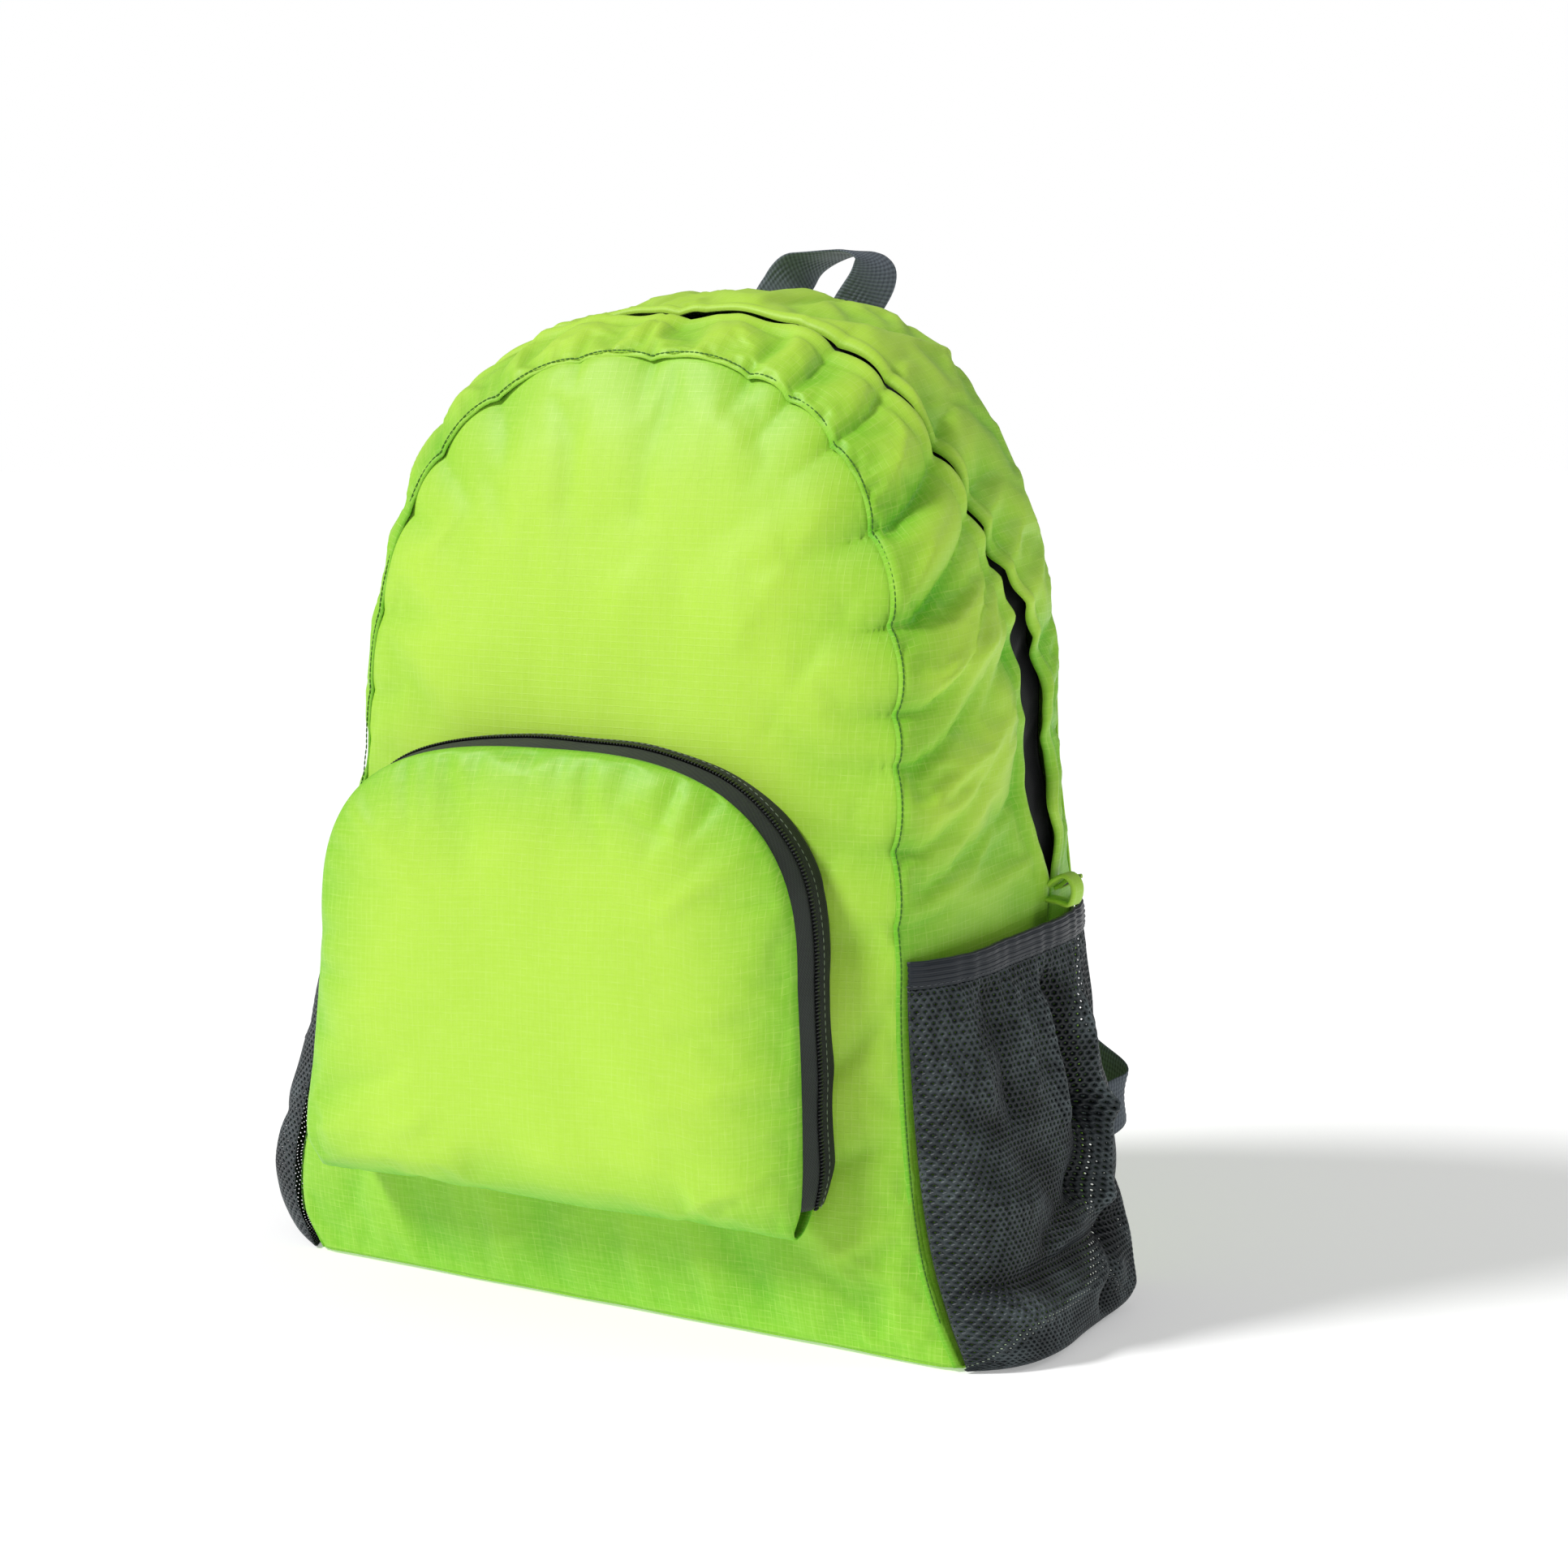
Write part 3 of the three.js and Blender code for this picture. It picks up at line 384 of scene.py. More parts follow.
# How far each flap's edge stands off the zip's line, in mm: along half the seam, front, rear.
lips = [
    (0, 0.3, 0.3), (0.35, 0.4, 0.3), (0.37, 1.4, 4.0), (0.395, 2.0, 12.0), (0.42, 2.2, 9.0),
    (0.445, 2.4, 17.0), (0.465, 2.4, 18.0), (0.485, 2.2, 13.0), (0.505, 2.0, 14.0), (0.53, 2.0, 16.5),
    (0.555, 1.8, 12.0), (0.58, 1.6, 8.0), (0.61, 1.2, 4.5), (0.65, 1.0, 3.2), (0.70, 0.8, 2.8),
    (0.76, 0.9, 2.8), (0.80, 1.2, 3.0), (0.84, 1.3, 3.2), (0.88, 1.0, 2.2), (0.92, 0.9, 2.0),
    (0.955, 1.6, 5.0), (1, 1.6, 5.4),
]


# From 0 at the floor on either side to 1 over the middle of the arch.
def alongAt(t):
    return 2 * np.minimum(t, 1 - t)


def sideOut(t, across):
    out = mix(frontSeam.out(t), backSeam.out(t), across[..., None])
    out[..., 2] *= np.clip(alongAt(t) * 5, 0, 1)
    return unit(out)


# The plain side between the two seams, as it bulges.
def sideFace(across, t, start=0.3, end=1.2):
    across, t = np.broadcast_arrays(across, t)
    a = frontSeam.at(t) + np.array([0, start, 0])
    b = backSeam.at(t) - np.array([0, end, 0])
    puff = body["sidePuff"] * readTable(zipLine, 2, alongAt(t)) * (1 - (2 * across - 1) ** 4)
    return mix(a, b, across[..., None]) + sideOut(t, across) * puff[..., None]


def sidePoints(across, t, relief=1.0):
    across, t = np.broadcast_arrays(across, t)
    p = sideFace(across, t)
    d, along, round_ = across * sideDepth, alongAt(t) * halfSeam, t * frontSeam.length
    arch = smooth(0.30, 0.42, alongAt(t))
    edge = np.minimum(1, np.minimum(10 * across, 8 * (1 - across)))
    left = t > 0.5
    creases = foldAt(sideCreases, d, along)
    other = foldAt(sideCreases, d + 6, along + 13)
    r = np.where(left, other, creases) * edge * arch
    pucker = puckerAt(t, d) * (1 - 0.6 * smooth(50, 100, d))
    r = r + mix(wanderAt(t), pucker, smooth(0, 15, d))
    seed = 28 if left.any() else 25  # a lone place on the right side has its own
    crushed = crumple(d * 0.5 + along * 0.2, along - d * 0.45, 44, seed)
    r = r + side["crumple"] * crushed * edge * arch
    r = r + (uneven(d, round_, 30, 21) * 0.3 + uneven(d, round_, 75, 22) * 1.1) * edge
    out = sideOut(t, across)
    p = p + out * (r * relief)[..., None]
    p = p - out * ((3.0 * np.exp(-d / 2.1) + 1.4 * np.exp(-(sideDepth - d) / 3.2)) * relief)[..., None]
    wander = seamWander(t)  # the edge follows the front panel's, and the rest does so less
    follow = wander - out * np.sum(wander * out, axis=-1, keepdims=True)
    return p + follow * np.exp(-(d / 10) ** 2)[..., None]


def zipAcross(t):
    return readTable(zipLine, 1, alongAt(t))


zipT = body["zipStart"] / frontSeam.length


# A flap of the side, u from front to back, with its rolled edge by the zip.
def flapPoints(u, t, rear):
    u, t = np.broadcast_arrays(u, t)
    lip = readTable(lips, 2 if rear else 1, alongAt(t)) + side["gap"] / 2
    lip = lip * smooth(zipT - 0.02, zipT + 0.012, np.minimum(t, 1 - t)) + 0.15
    line = zipAcross(t)
    if rear:
        start = line + lip / sideDepth
        across = start + (1 - start) * u
        d = (across - start) * sideDepth
    else:
        start = line - lip / sideDepth
        across = start * u
        d = (start - across) * sideDepth
    p = sidePoints(across, t)
    roll = side["lipRoll"]
    fold = roll * (1 - np.sqrt(np.clip(1 - (1 - np.minimum(d, roll) / roll) ** 2, 0, 1)))
    lift = 1.5 * np.exp(-((d - 5) / 3.5) ** 2) - 0.9 * np.exp(-((d - 11) / 2.2) ** 2)
    upper = smooth(zipT - 0.02, zipT + 0.03, np.minimum(t, 1 - t))
    ripple = uneven(t * frontSeam.length, 0 * t, 46, 33 + rear) * 1.2 * np.exp(-d / 16)
    out = sideOut(t, across)
    wide = smooth(0.5, 10, readTable(lips, 2, alongAt(t)))  # where they part, the front one lies down
    rise = (1.2 + wide if rear else 0.4 - 2.4 * wide) * np.exp(-d / 12)
    p = p + out * ((lift + ripple + rise - fold) * upper)[..., None]
    # the lips stay by the zip, and the foot by the nets
    free = smooth(5, 22, d) * smooth(0.34, 0.42, alongAt(t))
    return p + settle("gussetRear" if rear else "gussetFront", u, t) * free[..., None]


pocket = {"centre": -9, "half": 119, "foot": 56, "shoulder": 160, "top": 250, "arch": (2.7, 2.9),
          "standoff": 34, "skew": 4, "crown": 13, "lift": 12, "columns": 104, "rows": 92, "underRows": 14}
pocketSeam = Seam(pocket["centre"], pocket["half"], pocketSides, pocket["foot"], pocket["shoulder"],
                  pocket["top"], pocket["arch"], lambda z: body["frontY"] - pocket["standoff"] + 0 * z)
pocketCreases = [
    (-126, 232, -86, 206, 8, 1.3), (96, 214, 60, 190, 9, 1.3), (104, 150, 66, 136, 8, -1.0),
    (100, 122, 52, 104, 9, 1.4), (108, 92, 60, 86, 8, -1.2), (-128, 92, -84, 104, 8, -1.4),
    (-124, 74, -70, 84, 7, 1.5), (-40, 66, 60, 72, 9, -1.2), (-112, 128, -70, 140, 9, 0.9),
    (70, 66, 104, 82, 6, 1.6), (-60, 244, -40, 214, 8, -0.9), (10, 244, 24, 216, 8, -0.9),
    (-110, 190, -60, 180, 10, -0.7), (40, 236, 64, 214, 7, 0.9),
]


# How far forward the pocket's rim stands at x.
def pocketEdge(x):
    return body["frontY"] - pocket["standoff"] + pocket["skew"] * (x - pocket["centre"]) / pocket["half"]


# The pocket's underside, then its face.
def pocketPoints(u, v):
    rows, under = pocket["rows"], pocket["underRows"]
    row = v * (rows + under) - under
    face, back = np.clip(row / rows, 0, 1), np.clip(-row / under, 0, 1)
    p = pocketSeam.inside(u, face, 0.34)
    t, d = nearSeam(pocketSeam, p)
    x, z = p[..., 0].copy(), p[..., 2].copy()
    full = pocketSeam.fullness(x, z, 22) ** 0.7
    relief = foldAt(pocketCreases, x, z) + uneven(x, z, 46, 41) * 0.5 + uneven(x * 0.5, z, 24, 42) * 0.25
    hem = -2.6 * crumple(t * pocketSeam.length, 0 * t, 30, 43) * np.exp(-d / 12)
    y = pocketEdge(x) - pocket["crown"] * full - relief * smooth(1, 22, d) - hem * smooth(0, 8, d)
    y = y + 1.5 * np.exp(-d / 2.2)
    # the underside rolls in below the face and climbs a little on its way to the body
    x2 = pocket["centre"] + (x - pocket["centre"]) * (1 - 0.012 * np.minimum(1, back * 4))
    sag = np.sin(math.pi * np.clip(back, 0, 1) ** 0.6) * 4.0
    z2 = z + pocket["lift"] * back ** 2 - sag
    yBack = frontFace(x2, z2) - 0.6
    deep = 1 - (1 - back) ** 1.35
    y2 = mix(y, yBack, deep)
    isUnder = row < 0
    place = stack(np.where(isUnder, x2, x), np.where(isUnder, y2, y), np.where(isUnder, z2, z))
    return place + settle("pocket", u, v)


print("shapes defined")


# A new object of this mesh, camera or light, in the scene.
def addObject(name, data):
    made = bpy.data.objects.new(name, data)
    bpy.context.scene.collection.objects.link(made)
    return made


# A mesh object from a grid of points, with a UV map in metres along its two directions.
def gridPiece(name, points, across, along):
    rows, columns = points.shape[:2]
    index = np.arange(rows * columns).reshape(rows, columns)
    a, b, c, d = index[:-1, :-1], index[:-1, 1:], index[1:, 1:], index[1:, :-1]
    faces = np.stack([a, b, c, d], axis=-1).reshape(-1, 4)
    return meshPiece(name, points.reshape(-1, 3), faces, across.reshape(-1), along.reshape(-1))


def meshPiece(name, points, faces, across=None, along=None):
    mesh = bpy.data.meshes.new(name)
    faces = faces.tolist() if hasattr(faces, "tolist") else faces
    mesh.from_pydata((np.asarray(points) * mm).tolist(), [], faces)
    mesh.update()
    if across is not None:
        loops = np.zeros(len(mesh.loops), np.int32)
        mesh.loops.foreach_get("vertex_index", loops)
        layer = mesh.uv_layers.new(name="cloth")
        uv = np.stack([np.asarray(across)[loops], np.asarray(along)[loops]], axis=-1) * mm
        layer.data.foreach_set("uv", uv.astype(np.float32).ravel())
    mesh.polygons.foreach_set("use_smooth", [True] * len(mesh.polygons))
    return addObject(name, mesh)


# A smooth mesh object from a bmesh, which it then lets go.
def shapePiece(name, shape):
    mesh = bpy.data.meshes.new(name)
    shape.to_mesh(mesh)
    shape.free()
    mesh.polygons.foreach_set("use_smooth", [True] * len(mesh.polygons))
    return addObject(name, mesh)


# How light the cloth is painted at each vertex, as its tone attribute: painted shade, deeper in folds than what
# stands proud, and lighter or darker by how light falls on each panel.
def setPaintedShade(piece, tone):
    layer = piece.data.attributes.new("tone", "FLOAT", "POINT")
    tone = np.broadcast_to(np.ravel(tone), (len(piece.data.vertices),))
    layer.data.foreach_set("value", tone.astype(np.float32))
    return piece


# Away from the middle of the bag, round its arch.
def aroundArch(places):
    return np.stack([places[:, 0], 0 * places[:, 0], places[:, 2] - 120], axis=-1)


# Turns a piece's faces to one way, or to the way worked out for each face's middle.
def faceOut(piece, way):
    mesh = piece.data
    centres = np.zeros(len(mesh.polygons) * 3)
    normals = np.zeros(len(mesh.polygons) * 3)
    mesh.polygons.foreach_get("center", centres)
    mesh.polygons.foreach_get("normal", normals)
    outward = way(centres.reshape(-1, 3) / mm) if callable(way) else np.array(way)
    if (normals.reshape(-1, 3) * outward).sum() < 0:
        mesh.flip_normals()
    return piece


# Gives a sheet its thickness, inwards from the face that is seen.
def thicken(piece, thick):
    wall = piece.modifiers.new("wall", "SOLIDIFY")
    wall.thickness, wall.offset, wall.use_even_offset = thick * mm, -1, False
    return applied(piece)


# The piece with its modifier worked into a plain mesh.
def applied(piece):
    graph = bpy.context.evaluated_depsgraph_get()
    old = piece.data
    new = bpy.data.meshes.new_from_object(piece.evaluated_get(graph), depsgraph=graph)
    piece.modifiers.clear()
    piece.data = new
    name = old.name
    bpy.data.meshes.remove(old)
    new.name = name
    return piece


# Doubles merged and faces turned outwards, for a closed piece.
def closeUp(piece):
    tidy = bmesh.new()
    tidy.from_mesh(piece.data)
    bmesh.ops.remove_doubles(tidy, verts=tidy.verts, dist=1e-6)
    bmesh.ops.recalc_face_normals(tidy, faces=tidy.faces)
    tidy.to_mesh(piece.data)
    tidy.free()
    return piece


# Length along a grid's columns and rows, for its UV map.
def lengthsOf(points, axis):
    step = np.linalg.norm(np.diff(points, axis=axis), axis=-1)
    pad = [(0, 0), (0, 0)]
    pad[axis] = (1, 0)
    return np.cumsum(np.pad(step, pad), axis=axis)


# A tube swept along a path: ring rows are shares across and up, closed at both ends.
def sweepPiece(name, path, across, up, ring, scale=None):
    path, across, up = (np.asarray(x, float) for x in (path, across, up))
    ring = np.asarray(ring, float)
    n, m = len(path), len(ring)
    wide = np.ones(n) if scale is None else np.asarray(scale)
    points = (path[:, None] + across[:, None] * (ring[None, :, :1] * wide[:, None, None])
              + up[:, None] * ring[None, :, 1:2])
    faces = [(s * m + k, s * m + (k + 1) % m, (s + 1) * m + (k + 1) % m, (s + 1) * m + k)
             for s in range(n - 1) for k in range(m)]
    faces += [tuple(range(m)), tuple(range((n - 1) * m, n * m))]
    along = np.concatenate([[0], np.cumsum(np.linalg.norm(np.diff(path, axis=0), axis=1))])
    u = np.tile(ring[:, 0], n) * np.repeat(wide, m)
    piece = meshPiece(name, points.reshape(-1, 3), faces, u, np.repeat(along, m))
    return closeUp(piece)


# A flat band's ring: rounded edges, with a few points over its faces so that it can bend.
def bandRing(width, thick, steps=8, ribs=0, ribDepth=0.0):
    x = np.linspace(-0.5, 0.5, steps * 2 + 1)

    def height(a):
        rib = ribDepth * (0.5 + 0.5 * math.cos(2 * math.pi * ribs * a))
        return thick / 2 * math.sqrt(max(0, 1 - (2 * a) ** 14)) - rib
    top = [(a * width, height(a)) for a in x[1:-1]]
    return [(-width / 2, 0)] + top + [(width / 2, 0)] + [(a, -b) for a, b in reversed(top)]


# Stations of a smooth path through points, with the band's direction across it.
def smoothPath(points, steps):
    points = np.asarray(points, float)
    n = len(points)
    ghost = np.vstack([2 * points[0] - points[1], points, 2 * points[-1] - points[-2]])
    fine = []
    for s in np.linspace(0, n - 1, steps * 4 + 1):
        k = min(int(s), n - 2)
        u = s - k
        a, b, c, d = ghost[k:k + 4]
        square, cube = 2 * a - 5 * b + 4 * c - d, 3 * b - a - 3 * c + d
        fine.append(0.5 * (2 * b + (c - a) * u + square * u * u + cube * u ** 3))
    fine = np.array(fine)
    length = np.concatenate([[0], np.cumsum(np.linalg.norm(np.diff(fine, axis=0), axis=1))])
    want = np.linspace(0, length[-1], steps + 1)
    share = np.interp(want, length, np.linspace(0, n - 1, len(fine)))
    return np.stack([np.interp(want, length, fine[:, k]) for k in range(3)], axis=-1), share


# The directions across a path and up from it, square to it.
def framesAlong(path, across):
    tangent = unit(np.gradient(path, axis=0))
    across = unit(across - tangent * np.sum(across * tangent, axis=-1, keepdims=True))
    return across, np.cross(tangent, across)


# Shader maths: a socket that can be added, multiplied and so on.
class Wire:
    def __init__(self, finish, socket):
        self.finish, self.socket = finish, socket

    def maths(self, operation, *others):
        values = dict(enumerate((self, *others)))
        return self.finish.node("ShaderNodeMath", {"operation": operation}, values)

    def __add__(self, other): return self.maths("ADD", other)
    def __radd__(self, other): return self.maths("ADD", other)
    def __sub__(self, other): return self.maths("SUBTRACT", other)
    def __rsub__(self, other): return (self * -1) + other
    def __mul__(self, other): return self.maths("MULTIPLY", other)
    def __rmul__(self, other): return self.maths("MULTIPLY", other)
    def __truediv__(self, other): return self.maths("DIVIDE", other)
    def __rtruediv__(self, other): return (self ** -1) * other
    def __pow__(self, other): return self.maths("POWER", other)


# One material while it is being made.
class Finish:
    def __init__(self, name, colour, roughness, **settings):
        self.material = bpy.data.materials.new(name)
        self.material.use_nodes = True
        self.tree = self.material.node_tree
        self.shader = self.tree.nodes["Principled BSDF"]
        self.material.diffuse_color = (*colour, 1)
        self.set("Base Color", (*colour, 1))
        self.set("Roughness", roughness)
        for key, value in settings.items():
            self.set(key.replace("_", " "), value)

    def set(self, socket, value):
        target = self.shader.inputs[socket]
        if isinstance(value, Wire):
            self.tree.links.new(value.socket, target)
        else:
            target.default_value = value
        return self

    # any node: its type, its settings, then the values or links of its sockets
    def node(self, kind, settings=None, values=None, output=0):
        made = self.tree.nodes.new(kind)
        for key, value in (settings or {}).items():
            if key == "stops":
                ramp = made.color_ramp
                while len(ramp.elements) < len(value):
                    ramp.elements.new(0.5)
                for element, (place, colour) in zip(ramp.elements, value):
                    element.position, element.color = place, (*colour, 1)
            else:
                setattr(made, key, value)
        for key, value in (values or {}).items():
            target = made.inputs[key]
            if isinstance(value, Wire):
                self.tree.links.new(value.socket, target)
            else:
                target.default_value = value
        return Wire(self, made.outputs[output])

    # metres across and along the cloth, and both as one vector
    def cloth(self):
        uv = self.node("ShaderNodeUVMap", {"uv_map": "cloth"})
        across, along = (self.node("ShaderNodeSeparateXYZ", None, {0: uv}, k) for k in (0, 1))
        return across, along, uv

    # the tone attribute: the painted light and shade written for each vertex
    def tone(self):
        return self.node("ShaderNodeAttribute", {"attribute_name": "tone"}, None, "Fac")

    def place(self):
        return self.node("ShaderNodeTexCoord", None, None, "Object")

    def noise(self, where, scale, detail=2.0, rough=0.5):
        values = {"Vector": where, "Scale": scale, "Detail": detail, "Roughness": rough}
        return self.node("ShaderNodeTexNoise", None, values, "Fac")

    # noise stretched along the threads of one direction
    def slub(self, uv, across, along):
        threads = self.node("ShaderNodeMapping", None, {0: uv, "Scale": (across, along, 1.0)})
        return self.noise(threads, 1.0, 2.0)

    # 1 on the lines of a grid with this pitch, 0 between them, in metres
    def lines(self, value, pitch, width, soft=0.6):
        off = self.node("ShaderNodeMath", {"operation": "PINGPONG"}, {0: value, 1: pitch / 2})
        values = {"Value": off, "From Min": width * soft, "From Max": width, "To Min": 1.0, "To Max": 0.0}
        return self.node("ShaderNodeMapRange", {"interpolation_type": "SMOOTHSTEP"}, values)

    # from one colour to another, each of them a colour or a socket
    def shade(self, share, low, high):
        low, high = (c if isinstance(c, Wire) else (*c, 1) for c in (low, high))
        return self.node("ShaderNodeMix", {"data_type": "RGBA"}, {0: share, 6: low, 7: high}, 2)

    def bump(self, height, distance, strength=1.0):
        values = {"Height": height, "Distance": distance, "Strength": strength}
        return self.node("ShaderNodeBump", None, values)


ripstopLook = {
    # deep is a painted shade green, which the tone attribute mixes in at folds and on shaded panels
    "lime": (0.455, 0.735, 0.058), "deep": (0.120, 0.480, 0.008), "thread": (0.58, 0.82, 0.16),
    "pitch": 0.0030, "line": 0.00026, "weave": 0.0010,  # in metres
}


def ripstop():
    look = ripstopLook
    f = Finish("ripstop_lime", look["lime"], 0.48, Specular_IOR_Level=0.30, Sheen_Weight=0.05,
               Sheen_Roughness=0.4)
    u, v, uv = f.cloth()
    patch = f.noise(f.place(), 16.0, 3.0, 0.55)
    slub, slubUp = f.slub(uv, 60.0, 900.0), f.slub(uv, 900.0, 60.0)
    warp, weft = f.lines(u, look["pitch"], look["line"]), f.lines(v, look["pitch"], look["line"])
    grid = warp.maths("MAXIMUM", weft)
    patchy = {"Value": f.noise(uv, 220.0, 1.0), "From Min": 0.38, "From Max": 0.72,
              "To Min": 0.1, "To Max": 1.0}
    strong = f.node("ShaderNodeMapRange", None, patchy)
    weave = (f.lines(u, look["weave"], look["weave"] * 0.5, 0.0)
             * f.lines(v, look["weave"], look["weave"] * 0.5, 0.0))
    # painted light and shade: the tone attribute moves the lime towards the deep green, with a little random
    # patchiness besides
    base = f.shade(f.tone() + (patch - 0.5) * 0.16, look["deep"], look["lime"])
    base = f.shade(((slub + slubUp) * 0.5 - 0.42).maths("MAXIMUM", 0.0) * 0.8, base, look["thread"])
    f.set("Base Color", f.shade(grid * strong * 0.34, base, look["thread"]))
    f.set("Roughness", 0.44 + patch * 0.10 - grid * 0.05)
    height = grid * 0.55 + weave * 0.12 + (slub + slubUp) * 0.25
    f.set("Normal", f.bump(height, 0.00012, 0.55))
    return f.material


def blackPlastic(name="moulded_black", colour=(0.012, 0.013, 0.015), roughness=0.34):
    f = Finish(name, colour, roughness, Specular_IOR_Level=0.5)
    fine = f.noise(f.place(), 900.0, 2.0)
    worn = f.noise(f.place(), 70.0, 3.0)
    f.set("Base Color", f.shade(worn, colour, tuple(c * 1.9 for c in colour)))
    f.set("Roughness", roughness + worn * 0.12)
    f.set("Normal", f.bump(fine, 0.00005, 0.4))
    return f.material


# Woven cloth of one dark thread: twill where it leans, and plain ribs across where it doesn't.
def darkWeave(name, colour, light, pitch, lean=0.0, roughness=0.6, depth=0.00015, cross=True):
    f = Finish(name, colour, roughness, Specular_IOR_Level=0.32, Sheen_Weight=0.06, Sheen_Roughness=0.4)
    u, v = f.cloth()[:2]
    ribs = f.lines(v + u * lean, pitch, pitch * 0.5, 0.0)
    rows = f.lines(u - v * lean * 0.3, pitch * 1.25, pitch * 0.62, 0.0) if cross else ribs
    fluff = f.noise(f.place(), 1400.0, 2.0)
    worn = f.noise(f.place(), 60.0, 3.0)
    weave = ribs * 0.65 + rows * 0.35
    tone = f.shade(weave * 0.7 + fluff * 0.3, colour, light)
    f.set("Base Color", f.shade((worn - 0.45).maths("MAXIMUM", 0.0) * 0.9, tone, light))
    f.set("Roughness", roughness + fluff * 0.15 - weave * 0.08)
    f.set("Normal", f.bump(weave + fluff * 0.3, depth, 0.8))
    return f.material


def netThread():
    colour, light = (0.007, 0.010, 0.013), (0.096, 0.122, 0.130)
    f = Finish("net_thread", colour, 0.36, Specular_IOR_Level=0.34, Sheen_Weight=0.03, Sheen_Roughness=0.3)
    u, v = f.cloth()[:2]
    twist = f.lines(u * 0.8 + v, 0.0009, 0.00045, 0.0)
    patch = f.noise(f.place(), 40.0, 3.0)
    fluff = f.noise(f.place(), 1500.0, 2.0)
    # painted sheen and shade: the light colour, raised in place of the thread's reflection, lies over its twist,
    # fluff and random patches, and the tone attribute darkens it in the net's folds
    glintAndShade = (twist * 0.4 + fluff * 0.35 + (patch - 0.4) * 0.4) * (f.tone() * 1.3 + 0.15)
    f.set("Base Color", f.shade(glintAndShade, colour, light))
    f.set("Roughness", 0.28 + fluff * 0.2)
    f.set("Normal", f.bump(twist + fluff * 0.5, 0.00016, 0.8))
    return f.material


# dark and light colour, pitch in metres, lean, roughness, relief in metres
weaves = {
    "zipTape": ("zip_tape_twill", (0.012, 0.014, 0.014), (0.048, 0.055, 0.053), 0.0012, 1.0, 0.62),
    "zipBlack": ("zip_tape_black", (0.008, 0.009, 0.010), (0.022, 0.024, 0.026), 0.0012, 1.0, 0.62),
    "band": ("band_satin", (0.006, 0.009, 0.013), (0.016, 0.022, 0.030), 0.0010, 0.0, 0.36, 0.00008, False),
    "webbing": ("webbing_ribbed", (0.030, 0.039, 0.050), (0.16, 0.19, 0.22), 0.0017, 0.35, 0.55, 0.0003),
    "strap": ("strap_cloth", (0.016, 0.020, 0.025), (0.050, 0.060, 0.070), 0.0012, 0.0, 0.62, 0.0002),
    "thread": ("thread_grey", (0.10, 0.13, 0.10), (0.24, 0.30, 0.20), 0.0005, 0.6, 0.6, 0.00005),
    # a dark green seam thread, partly painted shade: the shadow line of the front seam's groove
    "seamShadowThread": ("thread_seam_shadow", (0.020, 0.070, 0.004), (0.06, 0.18, 0.012), 0.0005, 0.6, 0.6, 0.00005),
    "blackThread": ("thread_black", (0.02, 0.024, 0.028), (0.09, 0.10, 0.11), 0.0005, 0.6, 0.6, 0.00005),
}
finishes = {name: darkWeave(*row) for name, row in weaves.items()}
finishes.update({
    "ripstop": ripstop(), "net": netThread(), "plastic": blackPlastic(),
    "zipMetal": blackPlastic("slider_black", (0.020, 0.021, 0.023), 0.26),
})


# Puts a finished piece, in its finish, on the model's body, and hides the model's parts that it stands for.
def finishPiece(piece, finish, slot, *nodes):
    piece.data.materials.clear()
    piece.data.materials.append(finishes[finish])
    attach(piece, "root")
    if nodes:
        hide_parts(*nodes)
    return piece


def clothArea(piece):
    return sum(p.area for p in piece.data.polygons)


# Works out a sheet's flat size from its cut in mm, and its own area, which is what is left once the seams have
# taken theirs; the piece comes back unchanged.
def asSheet(piece, width, length, held, rests, area):
    flat = (width * mm, length * mm)
    area = flat[0] * flat[1] * min(area / (flat[0] * flat[1]), 1.0)
    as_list(rests)
    return piece


print("tools and finishes ready")

# Cloth simulation: a coarse copy of a panel is held along its seams, cut a little too large
# and blown out gently. The fine panel then takes on how far the coarse one moved.
settling = {"frames": 20, "stiff": 14.0, "bend": 0.25, "mass": 0.15, "quality": 6, "air": 2.0}
# its outside, columns and rows of the copy, spare cloth by the seams and in the middle, how far
# from a seam the gathers reach in mm, pressure, and the most that a point may move in mm
settlers = {
    "front": (frontPoints, (0, -1, 0), 70, 84, 0.045, 0.005, 50, 1.0, 4.5),
    "back": (backPoints, (0, 1, 0), 50, 58, 0.05, 0.01, 60, 1.0, 4.5),
    "pocket": (pocketPoints, (0, -1, 0), 64, 70, 0.045, 0.006, 34, 1.0, 4.0),
    "gussetFront": (lambda u, v: flapPoints(u, v, False), aroundArch, 24, 260, 0.06, 0.03, 60, 0.8, 5.0),
    "gussetRear": (lambda u, v: flapPoints(u, v, True), aroundArch, 14, 260, 0.06, 0.04, 40, 0.8, 4.5),
}


